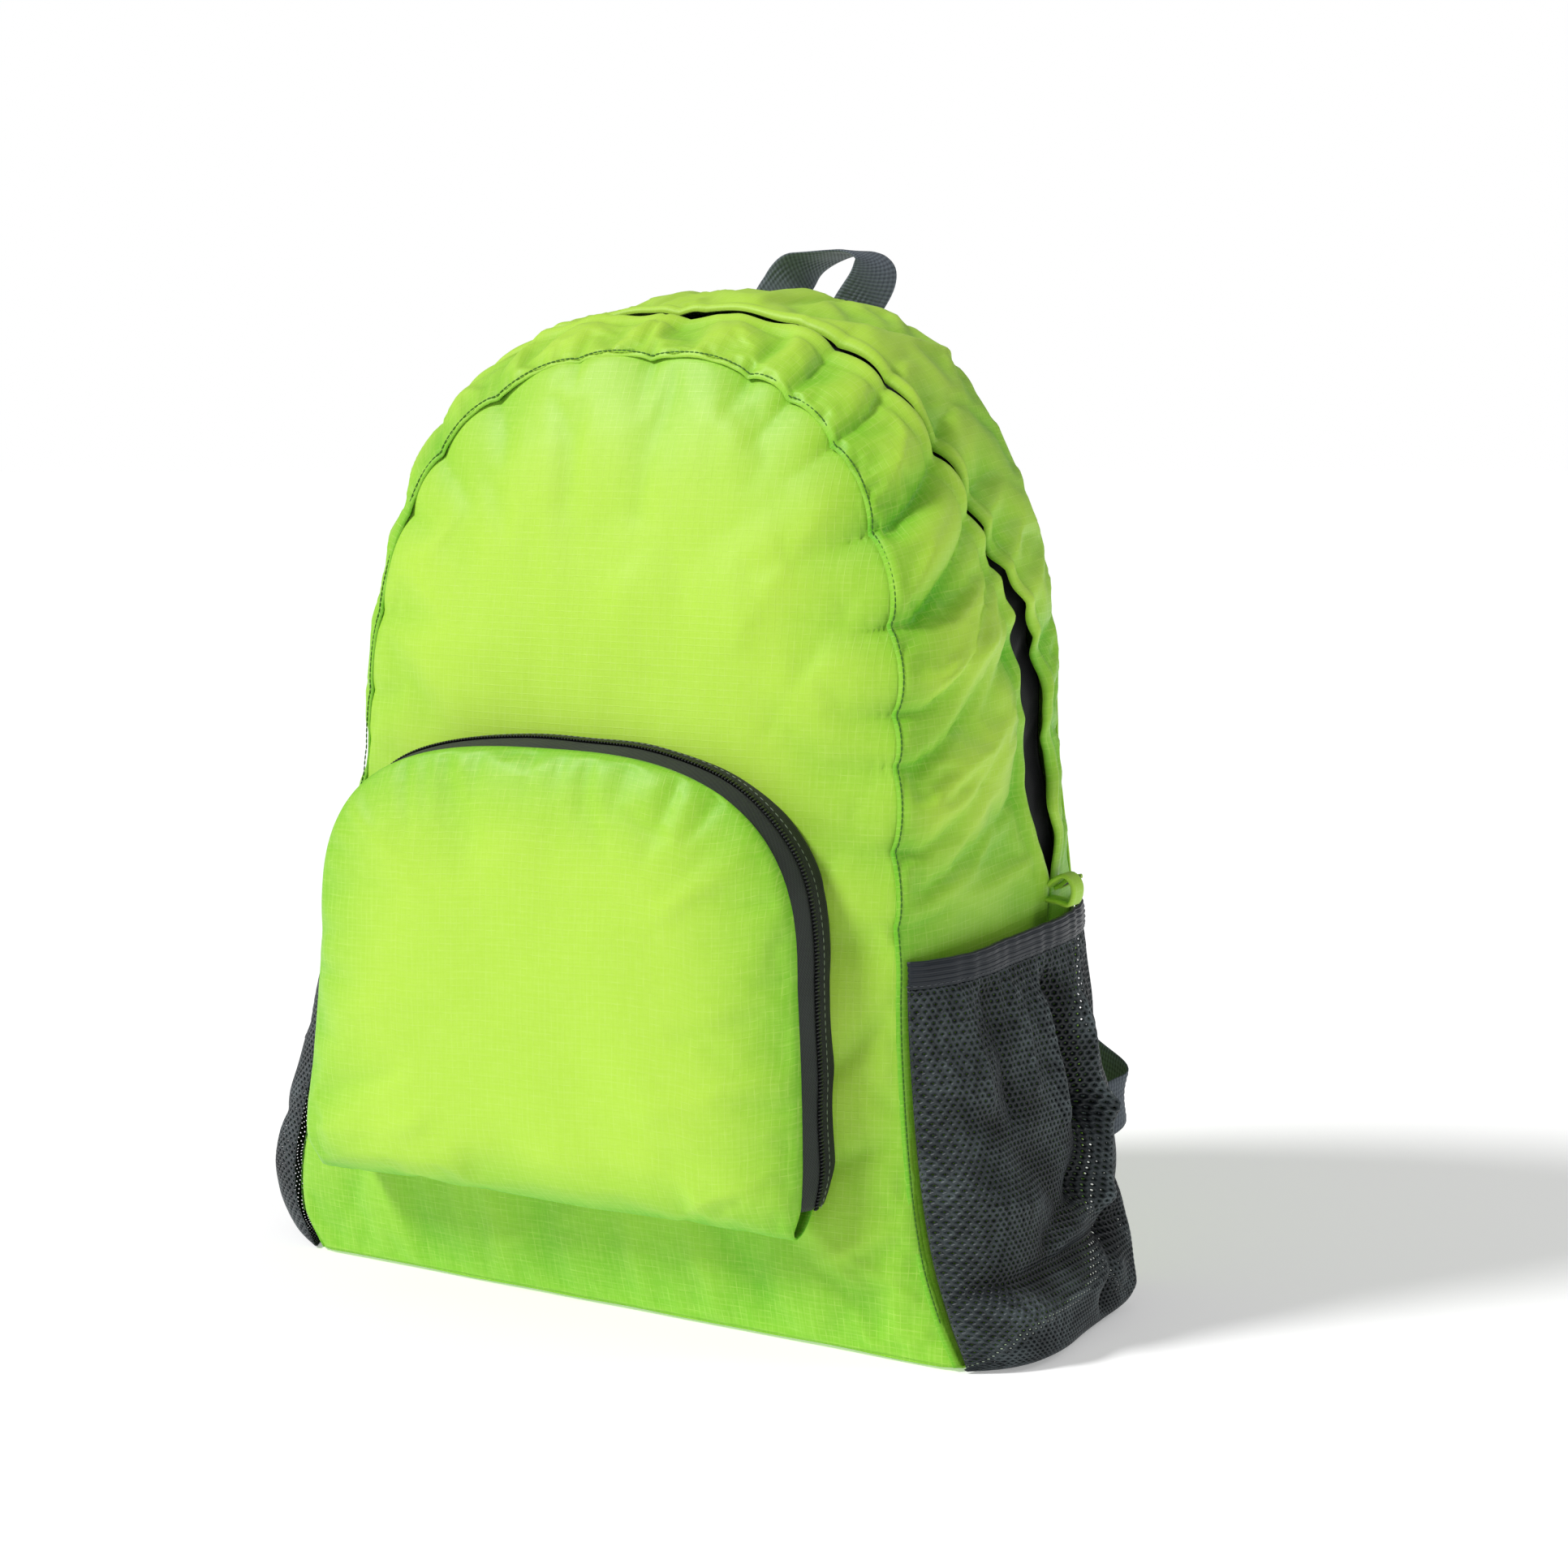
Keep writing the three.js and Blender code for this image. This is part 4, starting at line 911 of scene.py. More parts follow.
def settleCloth():
    started, jobs = time.time(), {}
    for name, (place, outside, columns, rows, hem, middle, reach, pressure, most) in settlers.items():
        u, v = np.meshgrid(np.linspace(0, 1, columns + 1), np.linspace(0, 1, rows + 1))
        points = place(u, v)
        piece = faceOut(gridPiece("settling_" + name, points, u, v), outside)
        across, along = lengthsOf(points, 1), lengthsOf(points, 0)
        off = np.minimum(np.minimum(across, across[:, -1:] - across), np.minimum(along, along[-1:] - along))
        held, spare = piece.vertex_groups.new(name="held"), piece.vertex_groups.new(name="spare")
        border = (u == 0) | (u == 1) | (v == 0) | (v == 1)
        for k, (edge, d) in enumerate(zip(border.ravel(), off.ravel())):
            held.add([k], 1.0 if edge else 0.0, "REPLACE")
            spare.add([k], float(math.exp(-(d / reach) ** 2)), "REPLACE")
        cloth = piece.modifiers.new("cloth", "CLOTH")
        s = cloth.settings
        s.quality, s.mass, s.air_damping = settling["quality"], settling["mass"], settling["air"]
        s.tension_stiffness = s.compression_stiffness = settling["stiff"]
        s.shear_stiffness, s.bending_stiffness = settling["stiff"] * 0.4, settling["bend"]
        s.vertex_group_mass, s.vertex_group_shrink = "held", "spare"
        s.shrink_min, s.shrink_max = -middle, -hem
        s.use_pressure, s.uniform_pressure_force = True, pressure
        s.effector_weights.gravity = 0
        cloth.collision_settings.use_collision = cloth.collision_settings.use_self_collision = False
        cloth.point_cache.frame_start, cloth.point_cache.frame_end = 1, settling["frames"]
        jobs[name] = (piece, points, most)
    scene = bpy.context.scene
    for frame in range(1, settling["frames"] + 1):
        scene.frame_set(frame)
    graph = bpy.context.evaluated_depsgraph_get()
    for name, (piece, points, most) in jobs.items():
        mesh = piece.evaluated_get(graph).data
        after = np.zeros(len(mesh.vertices) * 3)
        mesh.vertices.foreach_get("co", after)
        move = after.reshape(points.shape) / mm - points
        far = np.linalg.norm(move, axis=-1, keepdims=True)
        move = move * np.tanh(far / most) * most / np.maximum(far, 1e-6)
        settled[name] = np.nan_to_num(move)
        print("settled", name, "by %.1f mm at most" % np.linalg.norm(settled[name], axis=-1).max())
        data = piece.data
        bpy.data.objects.remove(piece)
        bpy.data.meshes.remove(data)
    scene.frame_set(1)
    print("cloth settled in %.1f s" % (time.time() - started))


settleCloth()

# The camera as it was fitted to the photograph: degrees, mm.
view = {"azimuth": 31.0, "down": 7.11, "place": (674.8, -1043.2, 380.1), "lens": 63.913, "sensor": 36.0}
camera = addObject("camera", bpy.data.cameras.new("camera"))
camera.data.lens, camera.data.sensor_width = view["lens"], view["sensor"]
camera.data.clip_start, camera.data.clip_end = 0.05, 30
camera.location = Vector(view["place"]) * mm
camera.rotation_euler = (math.radians(90 - view["down"]), 0, math.radians(view["azimuth"]))
bpy.context.scene.camera = camera

# Soft studio light: a broad, even key from the left of the camera, a fill and a rim.
sunLight = {"from": (-0.85, -0.95, 1.1), "strength": 2.7, "spread": 13.0}
key = addObject("light_key", bpy.data.lights.new("light_key", "SUN"))
key.data.energy, key.data.angle = sunLight["strength"], math.radians(sunLight["spread"])
key.rotation_euler = (-Vector(sunLight["from"])).to_track_quat("-Z", "Y").to_euler()
softboxes = {
    "rim": {"place": (1.5, 0.9, 1.5), "towards": (0.05, 0, 0.3), "size": 0.9, "power": 7},
    "fill": {"place": (1.9, -1.5, 0.7), "towards": (0, 0, 0.2), "size": 1.2, "power": 3},
}
for name, box in softboxes.items():
    light = addObject("light_" + name, bpy.data.lights.new("light_" + name, "AREA"))
    light.data.shape, light.data.size, light.data.energy = "DISK", box["size"], box["power"]
    light.location = box["place"]
    aim = Vector(box["towards"]) - light.location
    light.rotation_euler = aim.to_track_quat("-Z", "Y").to_euler()

# The room lights the bag less than it shows, so that the backdrop stays white.
room = {"light": 0.22, "backdrop": 1.0, "floor": (0.95, 0.95, 0.95), "glow": 0.3, "reach": 60.0}
world = bpy.data.worlds.new("studio")
world.use_nodes = True
studio = world.node_tree
seen, soft = studio.nodes.new("ShaderNodeLightPath"), studio.nodes["Background"]
plain, either = studio.nodes.new("ShaderNodeBackground"), studio.nodes.new("ShaderNodeMixShader")
soft.inputs["Color"].default_value = plain.inputs["Color"].default_value = (1, 1, 1, 1)
soft.inputs["Strength"].default_value = room["light"]
plain.inputs["Strength"].default_value = room["backdrop"]
studio.links.new(seen.outputs["Is Camera Ray"], either.inputs[0])
studio.links.new(soft.outputs[0], either.inputs[1])
studio.links.new(plain.outputs[0], either.inputs[2])
studio.links.new(either.outputs[0], studio.nodes["World Output"].inputs["Surface"])
bpy.context.scene.world = world
bpy.context.scene.view_settings.view_transform = "Standard"

reach = room["reach"] / 2 / mm
corners = [(-reach, -reach, 0), (reach, -reach, 0), (reach, reach, 0), (-reach, reach, 0)]
floor = meshPiece("studio_floor", corners, [(0, 1, 2, 3)])
floorLook = Finish("studio_floor", room["floor"], 0.9, Specular_IOR_Level=0.1,
                   Emission_Color=(1, 1, 1, 1), Emission_Strength=room["glow"])
floorLook.set("Roughness", 0.85 + floorLook.noise(floorLook.place(), 3.0) * 0.1)
floor.data.materials.append(floorLook.material)
print("camera, light and floor ready")


# A Geometry Nodes tree while it is being made: its named inputs, then its nodes.
class Tree:
    def __init__(self, name, **sockets):
        self.group = bpy.data.node_groups.new(name, "GeometryNodeTree")
        for label, kind in sockets.items():
            self.group.interface.new_socket(label, in_out="INPUT", socket_type="NodeSocket" + kind)
        self.group.interface.new_socket("Geometry", in_out="OUTPUT", socket_type="NodeSocketGeometry")
        self.entry = self.add("NodeGroupInput").outputs

    # values are numbers, or the socket or node that feeds an input
    def add(self, kind, inputs=None, **settings):
        node = self.group.nodes.new(kind)
        for key, value in settings.items():
            setattr(node, key, value)
        for key, value in (inputs or {}).items():
            if isinstance(value, bpy.types.Node):
                value = value.outputs[0]
            if isinstance(value, bpy.types.NodeSocket):
                self.group.links.new(value, node.inputs[key])
            else:
                node.inputs[key].default_value = value
        return node

    def store(self, mesh, name, value, kind):
        return self.add("GeometryNodeStoreNamedAttribute", {"Geometry": mesh, "Name": name, "Value": value},
                        data_type=kind, domain="POINT")

    def read(self, name, kind):
        made = self.add("GeometryNodeInputNamedAttribute", {"Name": name}, data_type=kind)
        return made.outputs["Attribute"]

    # the end of every tree: real meshes, smooth, in their material
    def finish(self, shape):
        real = self.add("GeometryNodeRealizeInstances", {"Geometry": shape})
        smoothed = self.add("GeometryNodeSetShadeSmooth", {"Geometry": real})
        worn = self.add("GeometryNodeSetMaterial", {"Geometry": smoothed, "Material": self.entry["Material"]})
        self.add("NodeGroupOutput", {"Geometry": worn})
        return self.group


# One small rounded shape, repeated along a path and standing on its "up".
def rowTree(name):
    tree = Tree(name, Path="Geometry", Pitch="Float", Along="Float", Across="Float", Height="Float",
                Sink="Float", Lean="Float", Material="Material")
    add, entry = tree.add, tree.entry
    curve = add("GeometryNodeMeshToCurve", {"Mesh": entry["Path"]})
    evenly = add("GeometryNodeResampleCurve", {"Curve": curve, "Length": entry["Pitch"]}, mode="LENGTH")
    axes = {"Primary Axis": add("GeometryNodeInputTangent"), "Secondary Axis": tree.read("up", "FLOAT_VECTOR")}
    stand = add("FunctionNodeAxesToRotation", axes, primary_axis="X", secondary_axis="Z")
    lean = add("FunctionNodeAxisAngleToRotation", {"Axis": (0, 0, 1), "Angle": entry["Lean"]})
    turned = add("FunctionNodeRotateRotation", {"Rotation": stand, "Rotate By": lean}, rotation_space="LOCAL")
    ball = add("GeometryNodeMeshUVSphere", {"Segments": 8, "Rings": 5, "Radius": 0.5})
    size = add("ShaderNodeCombineXYZ", {"X": entry["Along"], "Y": entry["Across"], "Z": entry["Height"]})
    low = add("ShaderNodeCombineXYZ", {"Z": entry["Sink"]})
    shape = add("GeometryNodeTransform", {"Geometry": ball, "Scale": size, "Translation": low})
    many = add("GeometryNodeInstanceOnPoints", {"Points": evenly, "Instance": shape, "Rotation": turned})
    return tree.finish(many)


def runTree(piece, tree, **values):
    graph = piece.modifiers.new("maker", "NODES")
    graph.node_group = tree
    for socket in tree.interface.items_tree:
        if socket.in_out == "INPUT" and socket.name in values:
            graph[socket.identifier] = values[socket.name]
    return applied(piece)


rows = rowTree("row_along_path")


# paths: lists of (points, ups) in mm; each becomes a row of the same small shape
def rowPiece(name, paths, finish, pitch, along, across, height, sink=0.0, lean=0.0):
    points, ups, edges = [], [], []
    for path, up in paths:
        start = sum(len(p) for p in points)
        points.append(np.asarray(path, float))
        ups.append(np.broadcast_to(up, points[-1].shape))
        edges += [(start + k, start + k + 1) for k in range(len(path) - 1)]
    mesh = bpy.data.meshes.new(name)
    mesh.from_pydata((np.concatenate(points) * mm).tolist(), edges, [])
    layer = mesh.attributes.new("up", "FLOAT_VECTOR", "POINT")
    layer.data.foreach_set("vector", np.concatenate(ups).astype(np.float32).ravel())
    sizes = {"Pitch": pitch, "Along": along, "Across": across, "Height": height, "Sink": sink}
    sizes = {label: value * mm for label, value in sizes.items()}
    return runTree(addObject(name, mesh), rows, **sizes, Lean=lean, Material=finishes[finish])



# each stitch's pitch, length, width and height in mm
stitchSizes = {
    "frontSeam": (2.5, 2.55, 0.7, 0.7), "pocketZip": (3.1, 2.3, 0.45, 0.4), "net": (2.9, 2.1, 0.5, 0.5),
    "handle": (2.6, 1.9, 0.5, 0.5), "strap": (3.4, 2.4, 0.5, 0.5),
}


def stitch(name, kind, paths, thread, slot):
    return finishPiece(rowPiece(name, paths, thread, *stitchSizes[kind]), thread, slot)



clothWall = 0.9  # mm, the panels' cloth as it is seen
# painted light and shade of the front and the side: how light each is painted, the side darker as in shade, and
# what the relief (painted shade in folds), the foot (painted shade low down) and the top (painted shade on the
# front, painted light over the side's arch) change
frontPaintedShade = {"base": 0.86, "relief": 0.07, "foot": 0.5, "top": 0.10}
sidePaintedShade = {"base": 0.46, "relief": 0.10, "top": 0.42, "footShadeFront": 0.1, "footShadeRear": 0.22}


# Steps from 0 to 1 that lie closer together at both ends.
def closer(steps, share):
    s = np.linspace(0, 1, steps + 1)
    return s - share * np.sin(2 * math.pi * s) / (2 * math.pi)


def panelGrid(columns, rows, place):
    u, v = np.meshgrid(closer(columns, 0.35), closer(rows, 0.35))
    return place(u, v)


# A panel's cloth: faced outwards, given its painted shade, thickened and put on the model's body in its finish.
# Also its area.
def clothPiece(name, points, across, along, outside, tone, *nodes):
    piece = setPaintedShade(faceOut(gridPiece(name, points, across, along), outside), tone)
    area = clothArea(piece)
    return finishPiece(thicken(piece, clothWall), "ripstop", "ripstop", *nodes), area


def buildFrontAndBack():
    p = panelGrid(front["columns"], front["rows"], frontPoints)
    x, z = p[..., 0], p[..., 2]
    # painted shade on the front: darker in its creases, towards its foot below the pocket and at its top
    relief = (frontSeam.depth(z) - frontSeam.fullness(x, z) * body["frontCrown"]) - p[..., 1]
    tone = (frontPaintedShade["base"] + frontPaintedShade["relief"] * relief - frontPaintedShade["foot"] * (1 - smooth(25, 150, z))
            - frontPaintedShade["top"] * smooth(300, 430, z))
    frontCloth, area = clothPiece("front_cloth", p, x, z, (0, -1, 0), tone, "front_panel")
    asSheet(frontCloth, 350, 420, "stretched", ["bottom_cloth"], area)
    p = panelGrid(back["columns"], back["rows"], backPoints)
    backCloth, area = clothPiece("back_cloth", p, p[..., 0], p[..., 2], (0, 1, 0), 0.6, "back_panel")
    asSheet(backCloth, 340, 445, "stretched", ["bottom_cloth"], area)


def buildGussets():
    t = np.linspace(0, 1, side["rows"] + 1)
    for name, rear, columns, width, nodes in (
            ("gusset_front_cloth", False, side["frontColumns"], 125,
             ("gusset_front", "side_panel_right", "side_panel_left")),
            ("gusset_rear_cloth", True, side["rearColumns"], 95, ("gusset_rear",))):
        u, tt = np.meshgrid(closer(columns, 0.5), t)
        p = flapPoints(u, tt, rear)
        across = zipAcross(tt) + (1 - zipAcross(tt)) * u if rear else zipAcross(tt) * u
        relief = np.sum((p - sideFace(across, tt)) * sideOut(tt, across), axis=-1)
        low = 1 - smooth(0.3, 0.55, alongAt(tt))
        # painted light and shade on the side: darker in its folds and towards the floor, lighter over the top of
        # the arch
        tone = (sidePaintedShade["base"] + sidePaintedShade["relief"] * relief + sidePaintedShade["top"] * smooth(0.74, 0.92, alongAt(tt))
                - sidePaintedShade["footShadeRear" if rear else "footShadeFront"] * low)
        gusset, area = clothPiece(name, p, lengthsOf(p, 1), tt * frontSeam.length, aroundArch, tone, *nodes)
        asSheet(gusset, width, 1150, "gathered", ["bottom_cloth"], area)


bottom = {"rings": 14, "inner": 0.04, "level": 1.4, "uneven": 0.5, "low": 1.0, "high": 1.9}


# The bottom, cut along the foot of the walls: rings that grow smaller round its middle.
def buildBottom():
    wide, deep = np.linspace(0, 1, 41), np.linspace(0, 1, 21)[1:-1]
    edge = np.concatenate([frontPoints(wide, 0 * wide), sideFace(deep, 0 * deep),
                           backPoints(wide, 0 * wide)[::-1], sideFace(deep[::-1], 0 * deep + 1)])
    middle, n, last = edge.mean(axis=0), len(edge), bottom["rings"] - 1
    rings = [middle + (edge - middle) * s for s in np.linspace(1, bottom["inner"], bottom["rings"])]
    points = np.concatenate([*rings, [middle]])
    level = bottom["level"] + bottom["uneven"] * uneven(points[:, 0], points[:, 1], 60, 51)
    points[:, 2] = np.clip(level, bottom["low"], bottom["high"])
    faces = [(r * n + k, r * n + (k + 1) % n, (r + 1) * n + (k + 1) % n, (r + 1) * n + k)
             for r in range(last) for k in range(n)]
    faces += [(last * n + k, last * n + (k + 1) % n, (last + 1) * n) for k in range(n)]
    piece = faceOut(meshPiece("bottom_cloth", points, faces, points[:, 0], points[:, 1]), (0, 0, -1))
    area = clothArea(piece)
    bottomCloth = finishPiece(thicken(setPaintedShade(piece, 0.4), clothWall), "ripstop", "ripstop", "bottom_panel")
    asSheet(bottomCloth, 350, 150, "laid", [], area)


# painted shade of the pocket: how light it is painted, and how much darker its folds are painted
pocketPaintedShade = {"base": 0.78, "relief": 0.05}


def buildPocket():
    p = panelGrid(pocket["columns"], pocket["rows"] + pocket["underRows"], pocketPoints)
    # painted shade: darker where the pocket's face sinks between its folds
    relief = pocketEdge(p[..., 0]) - pocket["crown"] * 0.8 - p[..., 1]
    tone = pocketPaintedShade["base"] + pocketPaintedShade["relief"] * relief
    face, area = clothPiece("pocket_cloth", p, p[..., 0], lengthsOf(p, 0), (0, -1, 0.1), tone, "pocket_face")
    asSheet(face, 275, 260, "stretched", ["front_cloth"], area)


buildFrontAndBack()
buildGussets()
buildBottom()
buildPocket()

# A thread in the groove of the front seam, partly its stitching and partly painted shade: its dark green stands
# in for the groove's shadow line.
seamShadowThread = {"steps": 700, "start": 0.02, "proud": 2.0, "back": 0.7}
t = np.linspace(seamShadowThread["start"], 1 - seamShadowThread["start"], seamShadowThread["steps"])
line = sidePoints(0 * t, t) + frontSeam.out(t) * seamShadowThread["proud"] + np.array([0, seamShadowThread["back"], 0])
stitch("front_seam_shadow_stitches", "frontSeam", [(line, np.array([0, -1.0, 0]))], "seamShadowThread", "ripstop")
print("panels and pocket made")

# Main zip: the tape lies under both flaps, and its coil in the middle.
mainZip = {"rows": 380, "columns": 10, "from": -0.42, "to": 0.98, "under": 6.0, "relief": 0.85, "wall": 0.7,
           "tooth": (1.0, 3.6, 1.3), "pitch": 1.5}
zipTs = np.linspace(zipT + 0.001, 1 - zipT - 0.001, mainZip["rows"] + 1)


def zipFace(offset, t, under):
    across = zipAcross(t) + offset / sideDepth
    return sidePoints(across, t, mainZip["relief"]) - sideOut(t, across) * under


u, t = np.meshgrid(np.linspace(mainZip["from"], mainZip["to"], mainZip["columns"] + 1), zipTs)
p = zipFace(u * body["zipWidth"], t, mainZip["under"])
tape = faceOut(gridPiece("main_zip_web", p, u * body["zipWidth"], lengthsOf(p, 0)), aroundArch)
finishPiece(thicken(tape, mainZip["wall"]), "zipBlack", "zip_black", "main_zip_tape")
line = zipFace(0 * zipTs, zipTs, mainZip["under"] - 0.4)
teeth = rowPiece("main_zip_teeth", [(line, sideOut(zipTs, zipAcross(zipTs)))], "plastic",
                 mainZip["pitch"], *mainZip["tooth"])
finishPiece(teeth, "plastic", "zip_hardware", "main_zip_coil")

# Pocket zip: a grey half beside the pocket's face, a black half beside the body, teeth between.
# The body's half stands further out, by the tilt.
pocketZip = {"rows": 240, "columns": 8, "wall": 0.8, "start": 0.018, "tilt": 4.5,
             "tooth": (1.05, 3.8, 1.5), "pitch": 1.55, "toothLift": 1.2, "toothLean": 0.12, "stitches": 0.72}
pocketTs = np.linspace(pocketZip["start"], 1 - pocketZip["start"], pocketZip["rows"] + 1)


def pocketBand(share, t):
    t, share = np.broadcast_arrays(t, share)
    p = pocketSeam.at(t)
    low = pocketEdge(p[..., 0]) + 0.9
    high = frontFace(p[..., 0], p[..., 2]) + 0.4
    out = pocketSeam.out(t)
    bow = 1.7 * np.sin(math.pi * share) - 1.3 - 1.0 * np.exp(-((share - 0.5) / 0.05) ** 2)
    wave = uneven(t * pocketSeam.length, share * 20, 60, 61) * 0.5
    p[..., 1] = mix(low, high, share)
    tilt = pocketZip["tilt"] * share * smooth(0, 0.05, t) * smooth(0, 0.05, 1 - t)
    return p + out * (bow + tilt + wave * smooth(0, 0.2, share) * smooth(0, 0.2, 1 - share))[..., None]


# Away from the pocket's middle, round its arch.
def aroundPocket(places):
    return np.stack([places[:, 0] - pocket["centre"], 0 * places[:, 0], places[:, 2] - 150], axis=-1)


for name, low, high, finish, slot in (("pocket_zip_web_face", 0.0, 0.5, "zipTape", "zip_tape"),
                                      ("pocket_zip_web_body", 0.5, 1.0, "zipBlack", "zip_black")):
    share, t = np.meshgrid(np.linspace(low, high, pocketZip["columns"] + 1), pocketTs)
    p = pocketBand(share, t)
    tape = faceOut(gridPiece(name, p, lengthsOf(p, 1), lengthsOf(p, 0)), aroundPocket)
    finishPiece(thicken(tape, pocketZip["wall"]), finish, slot, "pocket_zip_tape")
pocketOut = pocketSeam.out(pocketTs)
line = pocketBand(np.full_like(pocketTs, 0.5), pocketTs) + pocketOut * pocketZip["toothLift"]
teeth = rowPiece("pocket_zip_teeth", [(line, pocketOut)], "plastic", pocketZip["pitch"], *pocketZip["tooth"],
                 0.0, pocketZip["toothLean"])
finishPiece(teeth, "plastic", "zip_hardware", "pocket_zip_coil")
line = pocketBand(np.full_like(pocketTs, pocketZip["stitches"]), pocketTs) + pocketOut * 0.1
stitch("pocket_zip_stitches", "pocketZip", [(line, pocketOut)], "thread", "zip_tape")


# Rounded blocks on three given axes, joined in one mesh: each one's middle, axes and size.
def blocks(name, parts, bevel=0.5):
    whole = bmesh.new()
    for origin, axes, size in parts:
        made = bmesh.ops.create_cube(whole, size=1.0)["verts"]
        turn = Matrix([list(a) for a in axes]).transposed().to_4x4()
        scale = Matrix.Diagonal((*[s * mm for s in size], 1))
        place = Matrix.Translation(Vector(origin) * mm) @ turn @ scale
        bmesh.ops.transform(whole, matrix=place, verts=made)
        edges = list({e for v in made for e in v.link_edges})
        bmesh.ops.bevel(whole, geom=edges, offset=min(bevel, min(size) * 0.4) * mm, segments=3,
                        affect="EDGES", profile=0.5)
    return shapePiece(name, whole)


slider = {"length": 10, "width": 8, "pullLength": 24, "pullWidth": 6, "ribs": 7, "ribPitch": 1.9}


# A slider lying along its zip, and its pull behind it.
def zipSlider(name, start, end, outward, lift):
    down = unit(end - start)
    across = unit(np.cross(outward, down))
    out = np.cross(down, across)
    axes, length, width, half = (down, across, out), slider["length"], slider["width"], slider["length"] / 2

    # a block so far along the zip, up from it and off to the side, and its size
    def block(way, up, size, off=0.0):
        return start + down * way + out * (up + lift) + across * off, axes, size
    parts = [
        block(half, 0.7, (length, width * 0.86, 1.2)),
        block(half * 0.9, 2.6, (length * 0.86, width * 0.8, 1.1)),
        block(half * 0.45, 1.7, (length * 0.3, 2.4, 2.0)), block(half, 3.7, (length * 0.62, 1.9, 0.8)),
        block(half * 0.45, 3.3, (1.2, 1.9, 1.4)), block(half * 1.55, 3.3, (1.2, 1.9, 1.4)),
    ]
    parts += [block(half, 1.6, (length * 0.8, 0.9, 2.6), way * width * 0.42) for way in (-1, 1)]
    finishPiece(blocks(name + "_slider_body", parts, 0.45), "zipMetal", "zip_hardware", name + "_slider")
    begin, long, wide, level = length - 2.6, slider["pullLength"] + 2.6, slider["pullWidth"], 2.6
    parts = [block(begin + 1.0, level + 0.8, (1.3, wide * 0.8, 1.1)),
             block(begin + 6.4, level, (1.4, wide, 1.3))]
    parts += [block(begin + 3.8, level, (6.2, 1.2, 1.2), way * wide * 0.38) for way in (1, -1)]
    parts.append(block(begin + 6.4 + (long - 7) / 2, level - 0.3, (long - 7, wide, 1.5)))
    parts += [block(begin + 11 + k * slider["ribPitch"], level + 0.5, (0.7, wide * 0.66, 0.7))
              for k in range(slider["ribs"])]
    finishPiece(blocks(name + "_pull_tab", parts, 0.5), "zipMetal", "zip_hardware", name + "_pull")


zipReach = slider["length"] + slider["pullLength"] + 0.3  # from the slider's nose to the pull's end
fromEnd = 12  # mm, from the zip's lower end to the pull


def mainPlace(v):
    return np.array(1 - zipT - (fromEnd + v * zipReach) / frontSeam.length)


def pocketPlace(v):
    return np.array(1 - 0.02 - (fromEnd + v * zipReach) / pocketSeam.length)


start, middle, end = (mainPlace(v) for v in (1, 0.5, 0))
zipSlider("main_zip", sidePoints(zipAcross(start), start), sidePoints(zipAcross(end), end),
          sideOut(middle, zipAcross(middle)), 0.9)
start, middle, end = (pocketPlace(v) for v in (1, 0.5, 0))
start, end = (pocketBand(np.array(0.5), t) + pocketSeam.out(t) * pocketZip["toothLift"]
              for t in (start, end))
zipSlider("pocket_zip", start, end, pocketSeam.out(middle), 0.3)

# The zip's lower ends: a folded tab of body cloth, with the end of the tape beside it.
tab = {"width": 12.0, "reach": 13.5, "rise": 5.6, "wall": 2.0,
       "loop": [(-0.1, 0.5), (0.3, 1.15), (0.68, 1.5), (0.94, 0.95), (0.98, 0.1), (0.8, -0.75),
                (0.42, -0.55), (-0.1, -0.3)]}
tapeEnd = {"aside": 9.5, "reach": 10, "rise": 4, "width": 8.0, "wall": 1.0,
           "curve": [(-0.2, -0.4), (0.3, 0.1), (0.7, 0.75), (1.0, 0.9)]}
for name, t in (("right", zipT), ("left", 1 - zipT)):
    t = np.array(t)
    across = zipAcross(t)
    out = sideOut(t, across)
    up = unit(np.array([0, 0, 1]) - out * out[2])
    foot = sidePoints(across, t) - up * tab["rise"] * 0.5
    path = smoothPath([foot + out * a * tab["reach"] + up * b * tab["rise"] for a, b in tab["loop"]], 34)[0]
    sideways, lift = framesAlong(path, np.broadcast_to(np.cross(out, up), path.shape))
    piece = sweepPiece(f"zip_tab_fold_{name}", path, sideways, lift, bandRing(tab["width"], tab["wall"], 4))
    finishPiece(setPaintedShade(piece, 0.75), "ripstop", "ripstop", f"zip_tab_{name}")
    end = sidePoints(across + tapeEnd["aside"] / sideDepth, t) - up * 1.0
    path = smoothPath([end + out * a * tapeEnd["reach"] + up * b * tapeEnd["rise"]
                       for a, b in tapeEnd["curve"]], 18)[0]
    sideways, lift = framesAlong(path, np.broadcast_to(np.cross(out, up), path.shape))
    ring = bandRing(tapeEnd["width"], tapeEnd["wall"], 4)
    finishPiece(sweepPiece(f"zip_end_tape_{name}", path, sideways, lift, ring), "zipTape", "zip_tape")
    ring = [(1.1 * math.cos(a), 1.0 * math.sin(a)) for a in np.linspace(0, 2 * math.pi, 13)[:-1]]
    for k, way in enumerate((-1, 1)):  # the body cloth that binds its edges
        edge = path + sideways * way * (tapeEnd["width"] / 2 + 0.2)
        piece = sweepPiece(f"zip_end_edge_{name}_{k}", edge, sideways, lift, ring)
        finishPiece(setPaintedShade(piece, 0.8), "ripstop", "ripstop")
print("zips made")


